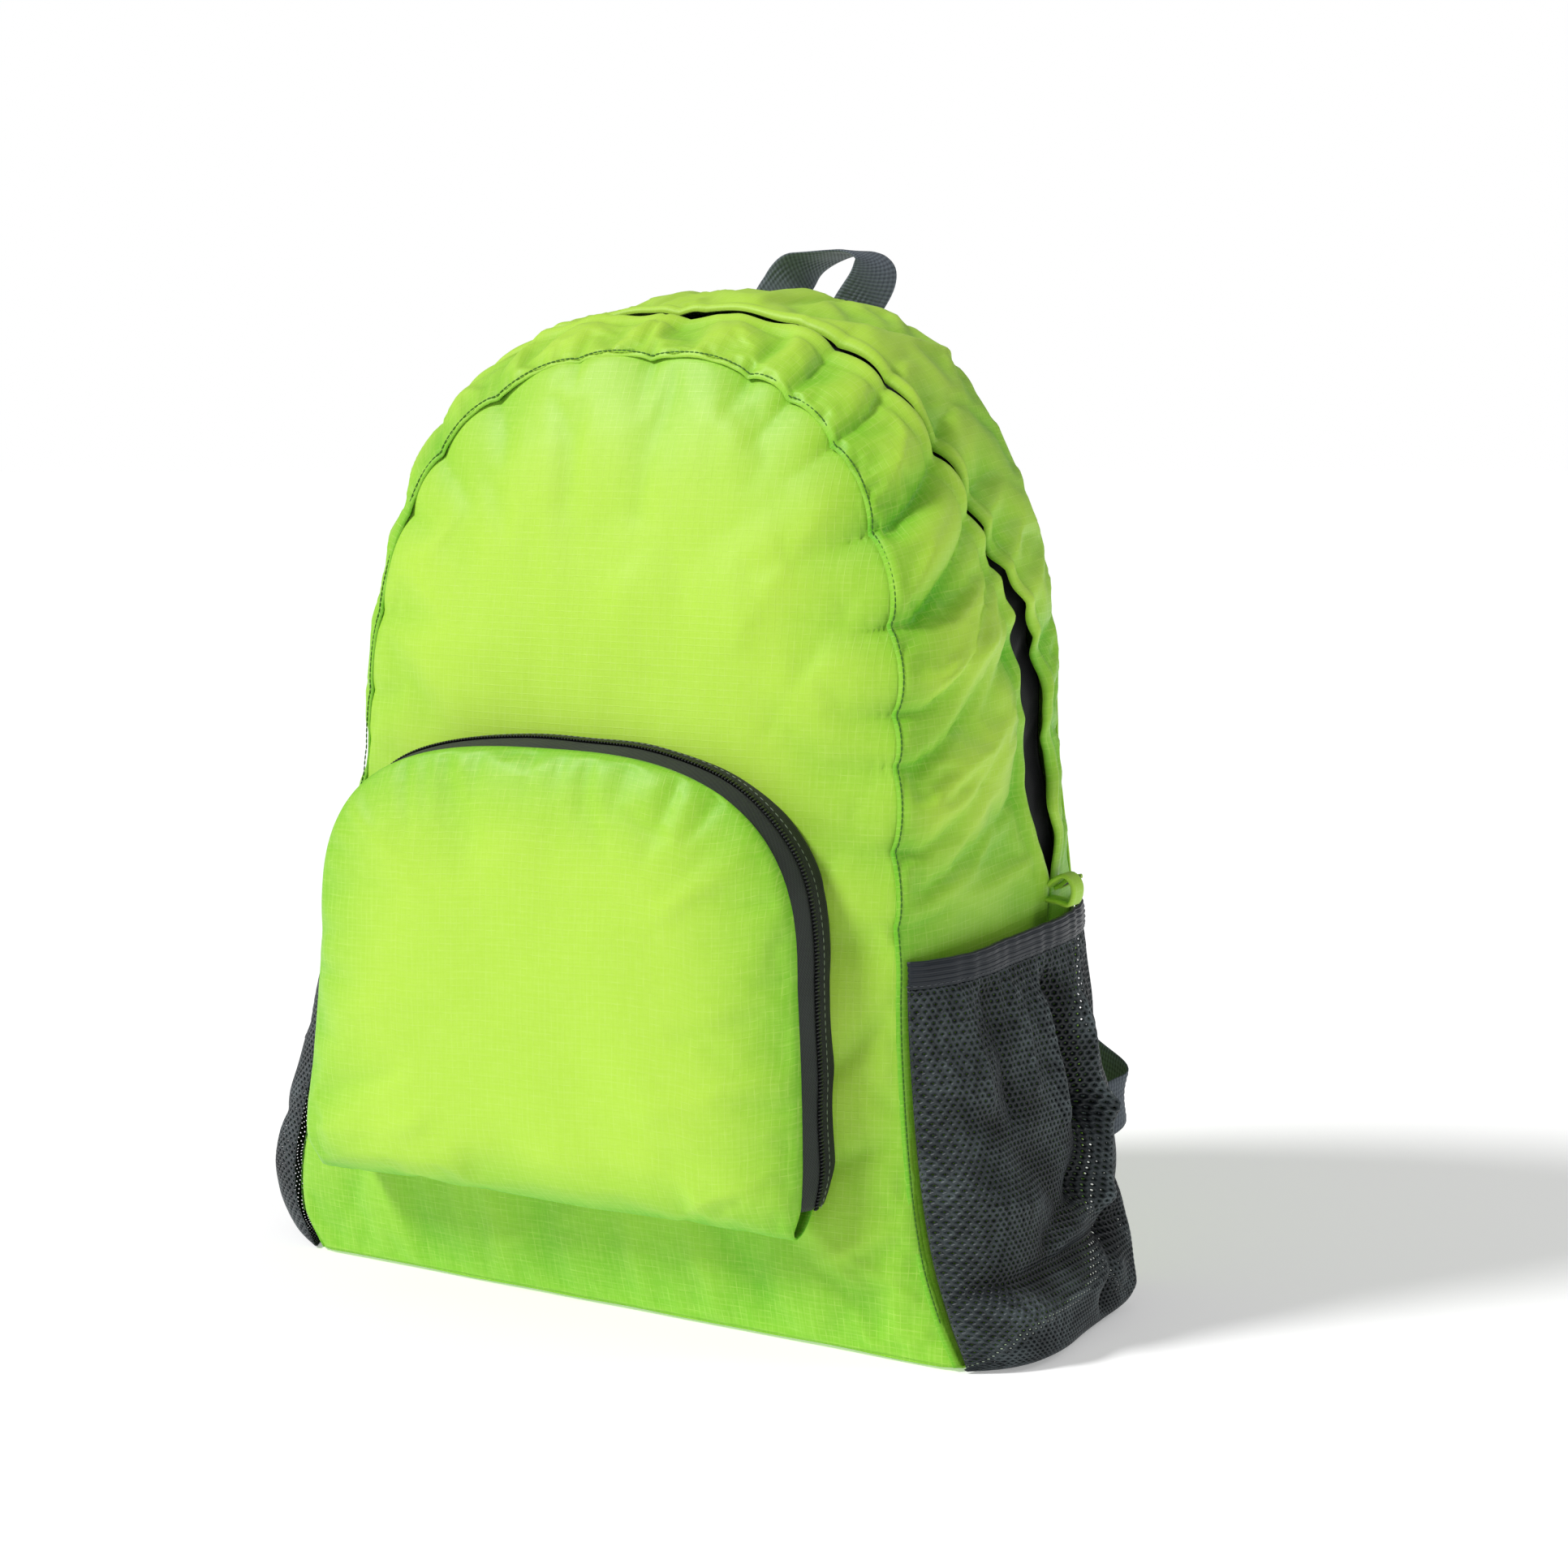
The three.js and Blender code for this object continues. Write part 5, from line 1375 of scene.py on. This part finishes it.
# A knitted net. The dual of a mesh of triangles is a mesh of six-sided cells; each cell becomes
# a ring of thread round a hole, rounded on both sides.
def netTree(name):
    tree = Tree(name, Surface="Geometry", Hole="Float", Crest="Float", Join="Float", Material="Material")
    add, entry = tree.add, tree.entry
    cells = add("GeometryNodeDualMesh", {"Mesh": entry["Surface"], "Keep Boundaries": True})
    kept = tree.store(cells, "outward", add("GeometryNodeInputNormal"), "FLOAT_VECTOR")
    borders = add("GeometryNodeInputMeshEdgeNeighbors")
    alone = add("FunctionNodeCompare", {2: borders, 3: 1}, data_type="INT", operation="LESS_EQUAL")
    rim = tree.store(kept, "rim", alone, "BOOLEAN")
    inset = add("GeometryNodeExtrudeMesh", {"Mesh": rim, "Offset Scale": 0.0, "Individual": True}, mode="FACES")
    top = inset.outputs["Top"]
    scaled = {"Geometry": inset.outputs["Mesh"], "Selection": top, "Scale": entry["Hole"]}
    holes = add("GeometryNodeScaleElements", scaled, domain="FACE")
    edge = tree.read("rim", "BOOLEAN")
    strand = add("FunctionNodeBooleanMath", {0: top, 1: edge}, operation="NOR")
    outward = tree.read("outward", "FLOAT_VECTOR")
    halves = []
    for way in (1, -1):
        height = add("ShaderNodeMath", {0: entry["Crest"], 1: float(way)}, operation="MULTIPLY")
        offset = add("ShaderNodeVectorMath", {0: outward, "Scale": height}, operation="SCALE")
        raised = add("GeometryNodeSetPosition", {"Geometry": holes, "Selection": strand, "Offset": offset})
        opened = add("GeometryNodeDeleteGeometry", {"Geometry": raised, "Selection": top}, domain="FACE")
        halves.append(opened if way > 0 else add("GeometryNodeFlipFaces", {"Mesh": opened}))
    both = add("GeometryNodeJoinGeometry")
    for half in reversed(halves):
        tree.group.links.new(half.outputs[0], both.inputs[0])
    return tree.finish(add("GeometryNodeMergeByDistance", {"Geometry": both, "Distance": entry["Join"]}))


net = {"foot": 1.8, "top": 166, "slope": 9, "bulge": {1: 29, -1: 31}, "columns": 58, "rows": 84,
       "cut": (190, 235), "hole": 0.24, "crest": 0.42, "edge": 0.006, "join": 0.02}
# up the net: its place, its height's share, how far it stands out
netProfile = [(0, 0, 0), (0.1, 0, 0.68), (0.2, 0.04, 0.96), (0.36, 0.2, 1), (0.58, 0.45, 0.9),
              (0.8, 0.73, 0.6), (1, 1, 0.28)]
# Folds of the net, in mm: back from the seam, up from the floor, to the same, width, depth.
netFolds = [
    (86, 146, 98, 92, 7, -11.0), (98, 92, 82, 62, 8, -9.0), (82, 62, 50, 48, 8, -5.0),
    (104, 136, 110, 92, 5, 6.0), (110, 92, 94, 56, 6, 7.0), (94, 56, 54, 44, 7, 4.0),
    (72, 140, 76, 96, 7, 5.0), (10, 34, 118, 40, 6, -6.6), (16, 22, 96, 24, 9, 4.4),
    (130, 62, 104, 40, 6, -5.4), (104, 40, 84, 14, 6, -5.0), (134, 44, 116, 14, 7, 4.0),
    (36, 150, 42, 100, 6, -4.0), (20, 150, 26, 108, 5, 3.0), (54, 150, 58, 112, 5, 3.0),
    (124, 150, 130, 106, 6, -4.0), (8, 70, 40, 64, 7, 2.4), (26, 100, 60, 60, 8, -2.6),
]


# A point of the net: across from 0 at the front to 1 at the back, v up its profile.
def netAt(way, across, height, bulge, v):
    z = net["foot"] + height * (net["top"] - net["foot"] - net["slope"] * (1 - across))
    t = (z - baseZ) / frontSeam.length
    p = sideFace(across, t if way > 0 else 1 - t)
    blunt = 1 - np.abs(2 * across - 1) ** 6
    d = across * sideDepth if way > 0 else sideDepth - across * sideDepth * 0.94
    fold = foldAt(netFolds, d, z) * (1.0 if way > 0 else 0.8) * smooth(0.06, 0.22, v)
    gather = np.cos(2 * math.pi * (d / 6.3 + 0.35 * uneven(d, z * 0.2, 40, 71))) * 0.9 * smooth(0.62, 0.97, v)
    soft = uneven(d, z, 34, 72 + way) * 1.0 * smooth(0, 0.3, v)
    p[..., 0] += way * (0.9 + blunt * (bulge * net["bulge"][way] + fold + gather + soft))
    p[..., 2] = z
    return p


# Triangles in rows that stand half a cell back in turn, so that their dual is a honeycomb.
def netCloth(name, way):
    i, j = np.meshgrid(np.arange(net["columns"] + 1), np.arange(net["rows"] + 1))
    a = np.clip((i - np.where(j % 2 == 1, 0.5, 0.0)) / net["columns"], 0, 1)
    across = mix(net["edge"], 1 - net["edge"], a)
    v = 0.02 + (j / net["rows"]) * 0.98
    p = netAt(way, across, readTable(netProfile, 1, v), readTable(netProfile, 2, v), v)
    index = np.arange(p.shape[0] * p.shape[1]).reshape(p.shape[:2])
    faces = []
    for r in range(net["rows"]):
        for k in range(net["columns"]):
            a, b, c, d = index[r, k], index[r, k + 1], index[r + 1, k + 1], index[r + 1, k]
            faces += [(a, b, c), (a, c, d)] if r % 2 == 0 else [(a, b, d), (b, c, d)]
    u, along = lengthsOf(p, 1).reshape(-1), lengthsOf(p, 0).reshape(-1)
    piece = faceOut(meshPiece(f"net_side_{name}", p.reshape(-1, 3), faces, u, along), (way, 0, 0))
    back = across * sideDepth
    # painted shade: darker in the net's folds, with random patches besides
    setPaintedShade(piece, 0.36 + 0.11 * foldAt(netFolds, back, p[..., 2]) + 0.25 * uneven(back, p[..., 2], 22, 77))
    piece = runTree(piece, nets, Hole=net["hole"], Crest=net["crest"] * mm, Join=net["join"] * mm,
                    Material=finishes["net"])
    return finishPiece(piece, "net", "net", f"net_pocket_{name}")


nets = netTree("knitted_net")
netPieces = [netCloth(name, way) for name, way in (("right", 1), ("left", -1))]
print("nets made", [len(piece.data.polygons) for piece in netPieces])

# The elastic band along a net's upper edge, with its ribs and its line of stitches.
band = {"height": 12.0, "wall": 1.8, "cut": (152, 14), "columns": 110, "rows": 18, "bulge": 0.28,
        "rib": 0.5, "ribs": 2.5}
for name, way in (("right", 1), ("left", -1)):
    a, s = np.meshgrid(np.linspace(0.004, 0.996, band["columns"] + 1), np.linspace(0, 1, band["rows"] + 1))
    height = 1 + (-0.4 + s * band["height"]) / (net["top"] - net["foot"])
    p = netAt(way, a, height, np.full_like(a, band["bulge"]), np.full_like(a, 0.30))
    ribs = band["rib"] * np.cos(2 * math.pi * s * band["ribs"]) ** 2 + 0.7 * np.sin(math.pi * s) ** 0.5
    pucker = uneven(a * sideDepth, s * 3, 9, 75) * 0.35
    p[..., 0] += way * (0.5 + ribs + pucker)
    piece = faceOut(gridPiece(f"net_elastic_{name}", p, lengthsOf(p, 1), lengthsOf(p, 0)), (way, 0, 0))
    area = clothArea(piece)
    elastic = finishPiece(thicken(piece, band["wall"]), "band", "binding", f"net_band_{name}")
    asSheet(elastic, *band["cut"], "stretched", [f"net_side_{name}"], area)
    line = p[2] + np.array([way * 0.15, 0, 0])
    stitch(f"net_stitches_{name}", "net", [(line, np.array([way, 0.0, 0.0]))], "blackThread", "binding")

webRibs = (18, 9, 0.28)  # webbing's points across, its ribs and their depth in mm
# Carry handle: across, up and back of its middle, and how far it has turned level.
handle = {"middle": 20, "span": 52, "rise": 22, "width": 22, "wall": 1.7, "length": 128, "steps": 90,
          "off": 2.1, "stitched": (6, 10, 82, 86)}
handlePath = [(-0.56, -0.35, 0.1, 0), (-0.4, 0.22, 0.2, 0.12), (-0.17, 0.75, 0.34, 0.5),
              (0.22, 1, 0.5, 0.85), (0.46, 0.85, 0.5, 0.8), (0.5, 0.4, 0.34, 0.5), (0.33, -0.35, 0.1, 0.2)]
topY = float(backSeam.depth(np.array(body["backHeight"])))
stops = np.array(handlePath, float)
points = stack(handle["middle"] + stops[:, 0] * handle["span"],
               topY + handle["off"] + stops[:, 2] * handle["width"],
               body["backHeight"] + stops[:, 1] * handle["rise"])
path, share = smoothPath(points, handle["steps"])
turn = np.interp(share, np.arange(len(stops)), stops[:, 3]) * math.pi / 2
across, lift = framesAlong(path, stack(np.cos(turn), np.sin(turn), 0 * turn))
piece = sweepPiece("handle_web", path, across, lift, bandRing(handle["width"], handle["wall"], *webRibs))
area = clothArea(piece) / 2
finishPiece(piece, "webbing", "webbing", "carry_handle")
asSheet(piece, handle["width"], handle["length"], "folded", ["back_cloth"], area)
stitches = []
for k in handle["stitched"]:
    for face in (1, -1):
        ends = np.linspace(-0.4, 0.4, 12)[:, None] * handle["width"]
        proud = lift[k] * face * (handle["wall"] / 2 - 0.1)
        stitches.append((path[k] + across[k] * ends + proud, lift[k] * face))
stitch("handle_stitches", "handle", stitches, "blackThread", "binding")

# Shoulder straps: along, across, bow and width as shares.
strap = {"width": 58, "thick": 9, "top": 406, "end": 170, "standoff": 22, "steps": 84, "bound": 1.6,
         "stitchIn": 6.5, "square": 0.42}
strapPath = [(0, 0.36, 0, 1), (0.2, 0.44, 0.35, 1.02), (0.45, 0.57, 0.85, 1), (0.75, 0.7, 1, 0.88),
             (1, 0.76, 0.75, 0.62)]
# Webbing: across, up, bow as shares, and its turn.
webPath = [(0.76, 1, 0.75, 0), (0.76, 0.92, 0.85, 0), (0.83, 0.79, 1, 0.3), (0.99, 0.66, 1.1, 0.75),
           (1.11, 0.59, 0.9, 1), (1.12, 0.55, 0.35, 1), (1.05, 0.54, 0.06, 1)]
# its middle stands out by the spare besides
web = {"width": 25, "wall": 1.6, "length": 150, "steps": 96, "off": 1.2, "spare": (4.0, 7.0, 5.0)}
buckle = {"height": 26, "gap": 0.3, "rounding": 0.9}


def strapPlace(way, along):
    z = strap["top"] + (strap["end"] - strap["top"]) * along
    x = way * readTable(strapPath, 1, along) * body["backHalf"]
    y = backFace(x, z) + 0.3 + strap["thick"] / 2 + readTable(strapPath, 2, along) * strap["standoff"]
    return stack(x, y, z), readTable(strapPath, 3, along) * strap["width"] / 2


def roundRing(steps, side, thick):
    ring = []
    for a in np.linspace(0, 2 * math.pi, steps + 1)[:-1]:
        c, s = math.cos(a), math.sin(a)
        ring.append((math.copysign(abs(c) ** side, c), math.copysign(abs(s) ** 0.8, s) * thick / 2))
    return ring


# A padded strap with its bound edges and its lines of stitches.
def buildStrap(name, way):
    path, half = strapPlace(way, np.linspace(0.004, 0.996, strap["steps"] + 1))
    tangent = unit(np.gradient(path, axis=0))
    across = unit(np.array([way, 0, 0]) - tangent * (tangent[:, :1] * way))
    lift = np.cross(tangent, across) * np.sign(np.cross(tangent, across)[:, 1:2])
    ring = roundRing(44, strap["square"], strap["thick"] * 0.82)
    piece = sweepPiece(f"strap_pad_{name}", path, across, lift, ring, half - strap["bound"])
    finishPiece(piece, "strap", "strap_cloth", f"shoulder_strap_{name}")
    ring = [(1.5 * math.cos(a), 2.1 * math.sin(a)) for a in np.linspace(0, 2 * math.pi, 15)[:-1]]
    for k, edge in enumerate((1, -1)):
        line = path + across * (edge * (half - 1.5))[:, None]
        sideways, up = framesAlong(line, across)
        finishPiece(sweepPiece(f"strap_binding_{name}_{k}", line, sideways, up, ring), "band", "binding")
    inside, top = half - strap["stitchIn"], strap["thick"] * 0.41
    level = top * (1 - (inside / (half - strap["bound"])) ** (2 / strap["square"])) ** 0.4
    stitches = []
    for edge in (1, -1):
        for face in (1, -1):
            line = path + across * (edge * inside)[:, None] + lift * (face * level)[:, None]
            stitches.append((line, lift * face))
    for k in (3, 8):
        ends = np.linspace(-0.66, 0.66, 30)[:, None] * half[k]
        stitches.append((path[k] + across[k] * ends + lift[k] * top, lift[k]))
    stitch(f"strap_stitches_{name}", "strap", stitches, "blackThread", "binding")


# A buckle is the model's own, with its edges rounded.
def buildBuckle(name):
    shape = bmesh.new()
    shape.from_mesh(frame["nodes"][f"strap_buckle_{name}"].data)
    bmesh.ops.remove_doubles(shape, verts=shape.verts, dist=1e-6)
    bmesh.ops.dissolve_limit(shape, angle_limit=0.02, verts=shape.verts, edges=shape.edges)
    sharp = [e for e in shape.edges if len(e.link_faces) == 2 and e.calc_face_angle() > 0.5]
    bmesh.ops.bevel(shape, geom=sharp, offset=buckle["rounding"] * mm, segments=3, affect="EDGES",
                    profile=0.6, clamp_overlap=True)
    piece = shapePiece(f"buckle_frame_{name}", shape)
    finishPiece(piece, "plastic", "buckle_plastic", f"strap_buckle_{name}")


# Webbing from the buckle round to the back seam, where its end is sewn in.
def buildWebbing(name, way):
    stops = np.array(webPath, float)
    x = way * stops[:, 0] * body["backHalf"]
    z = stops[:, 1] * (strap["end"] - buckle["height"] - 2 * buckle["gap"])
    points = stack(x, backFace(x, z) + web["off"] + stops[:, 2] * strap["standoff"], z)
    points[3:6, 0] += way * np.array(web["spare"])
    seamEnd = backSeam.at(np.array((z[-1] - baseZ) / backSeam.length))
    points[-1] = way * (abs(seamEnd[0]) - 2.0), seamEnd[1] + 0.8, z[-1]
    path, share = smoothPath(points, web["steps"])
    turn = np.interp(share, np.arange(len(stops)), stops[:, 3]) * math.pi / 2
    across, lift = framesAlong(path, stack(way * np.cos(turn), 0 * turn, np.sin(turn)))
    ring = bandRing(web["width"], web["wall"], *webRibs)
    piece = sweepPiece(f"strap_web_{name}", path, across, lift, ring)
    area = clothArea(piece) / 2
    finishPiece(piece, "webbing", "webbing", f"strap_webbing_{name}")
    rests = [f"buckle_frame_{name}", "back_cloth"]
    asSheet(piece, web["width"], web["length"], "hung", rests, area)


for name, way in (("right", 1), ("left", -1)):
    buildStrap(name, way)
    buildBuckle(name)
    buildWebbing(name, way)
print("handle and straps made")

for name, node in frame["nodes"].items():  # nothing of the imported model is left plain
    if not node.hide_render:
        print("still shown:", name)
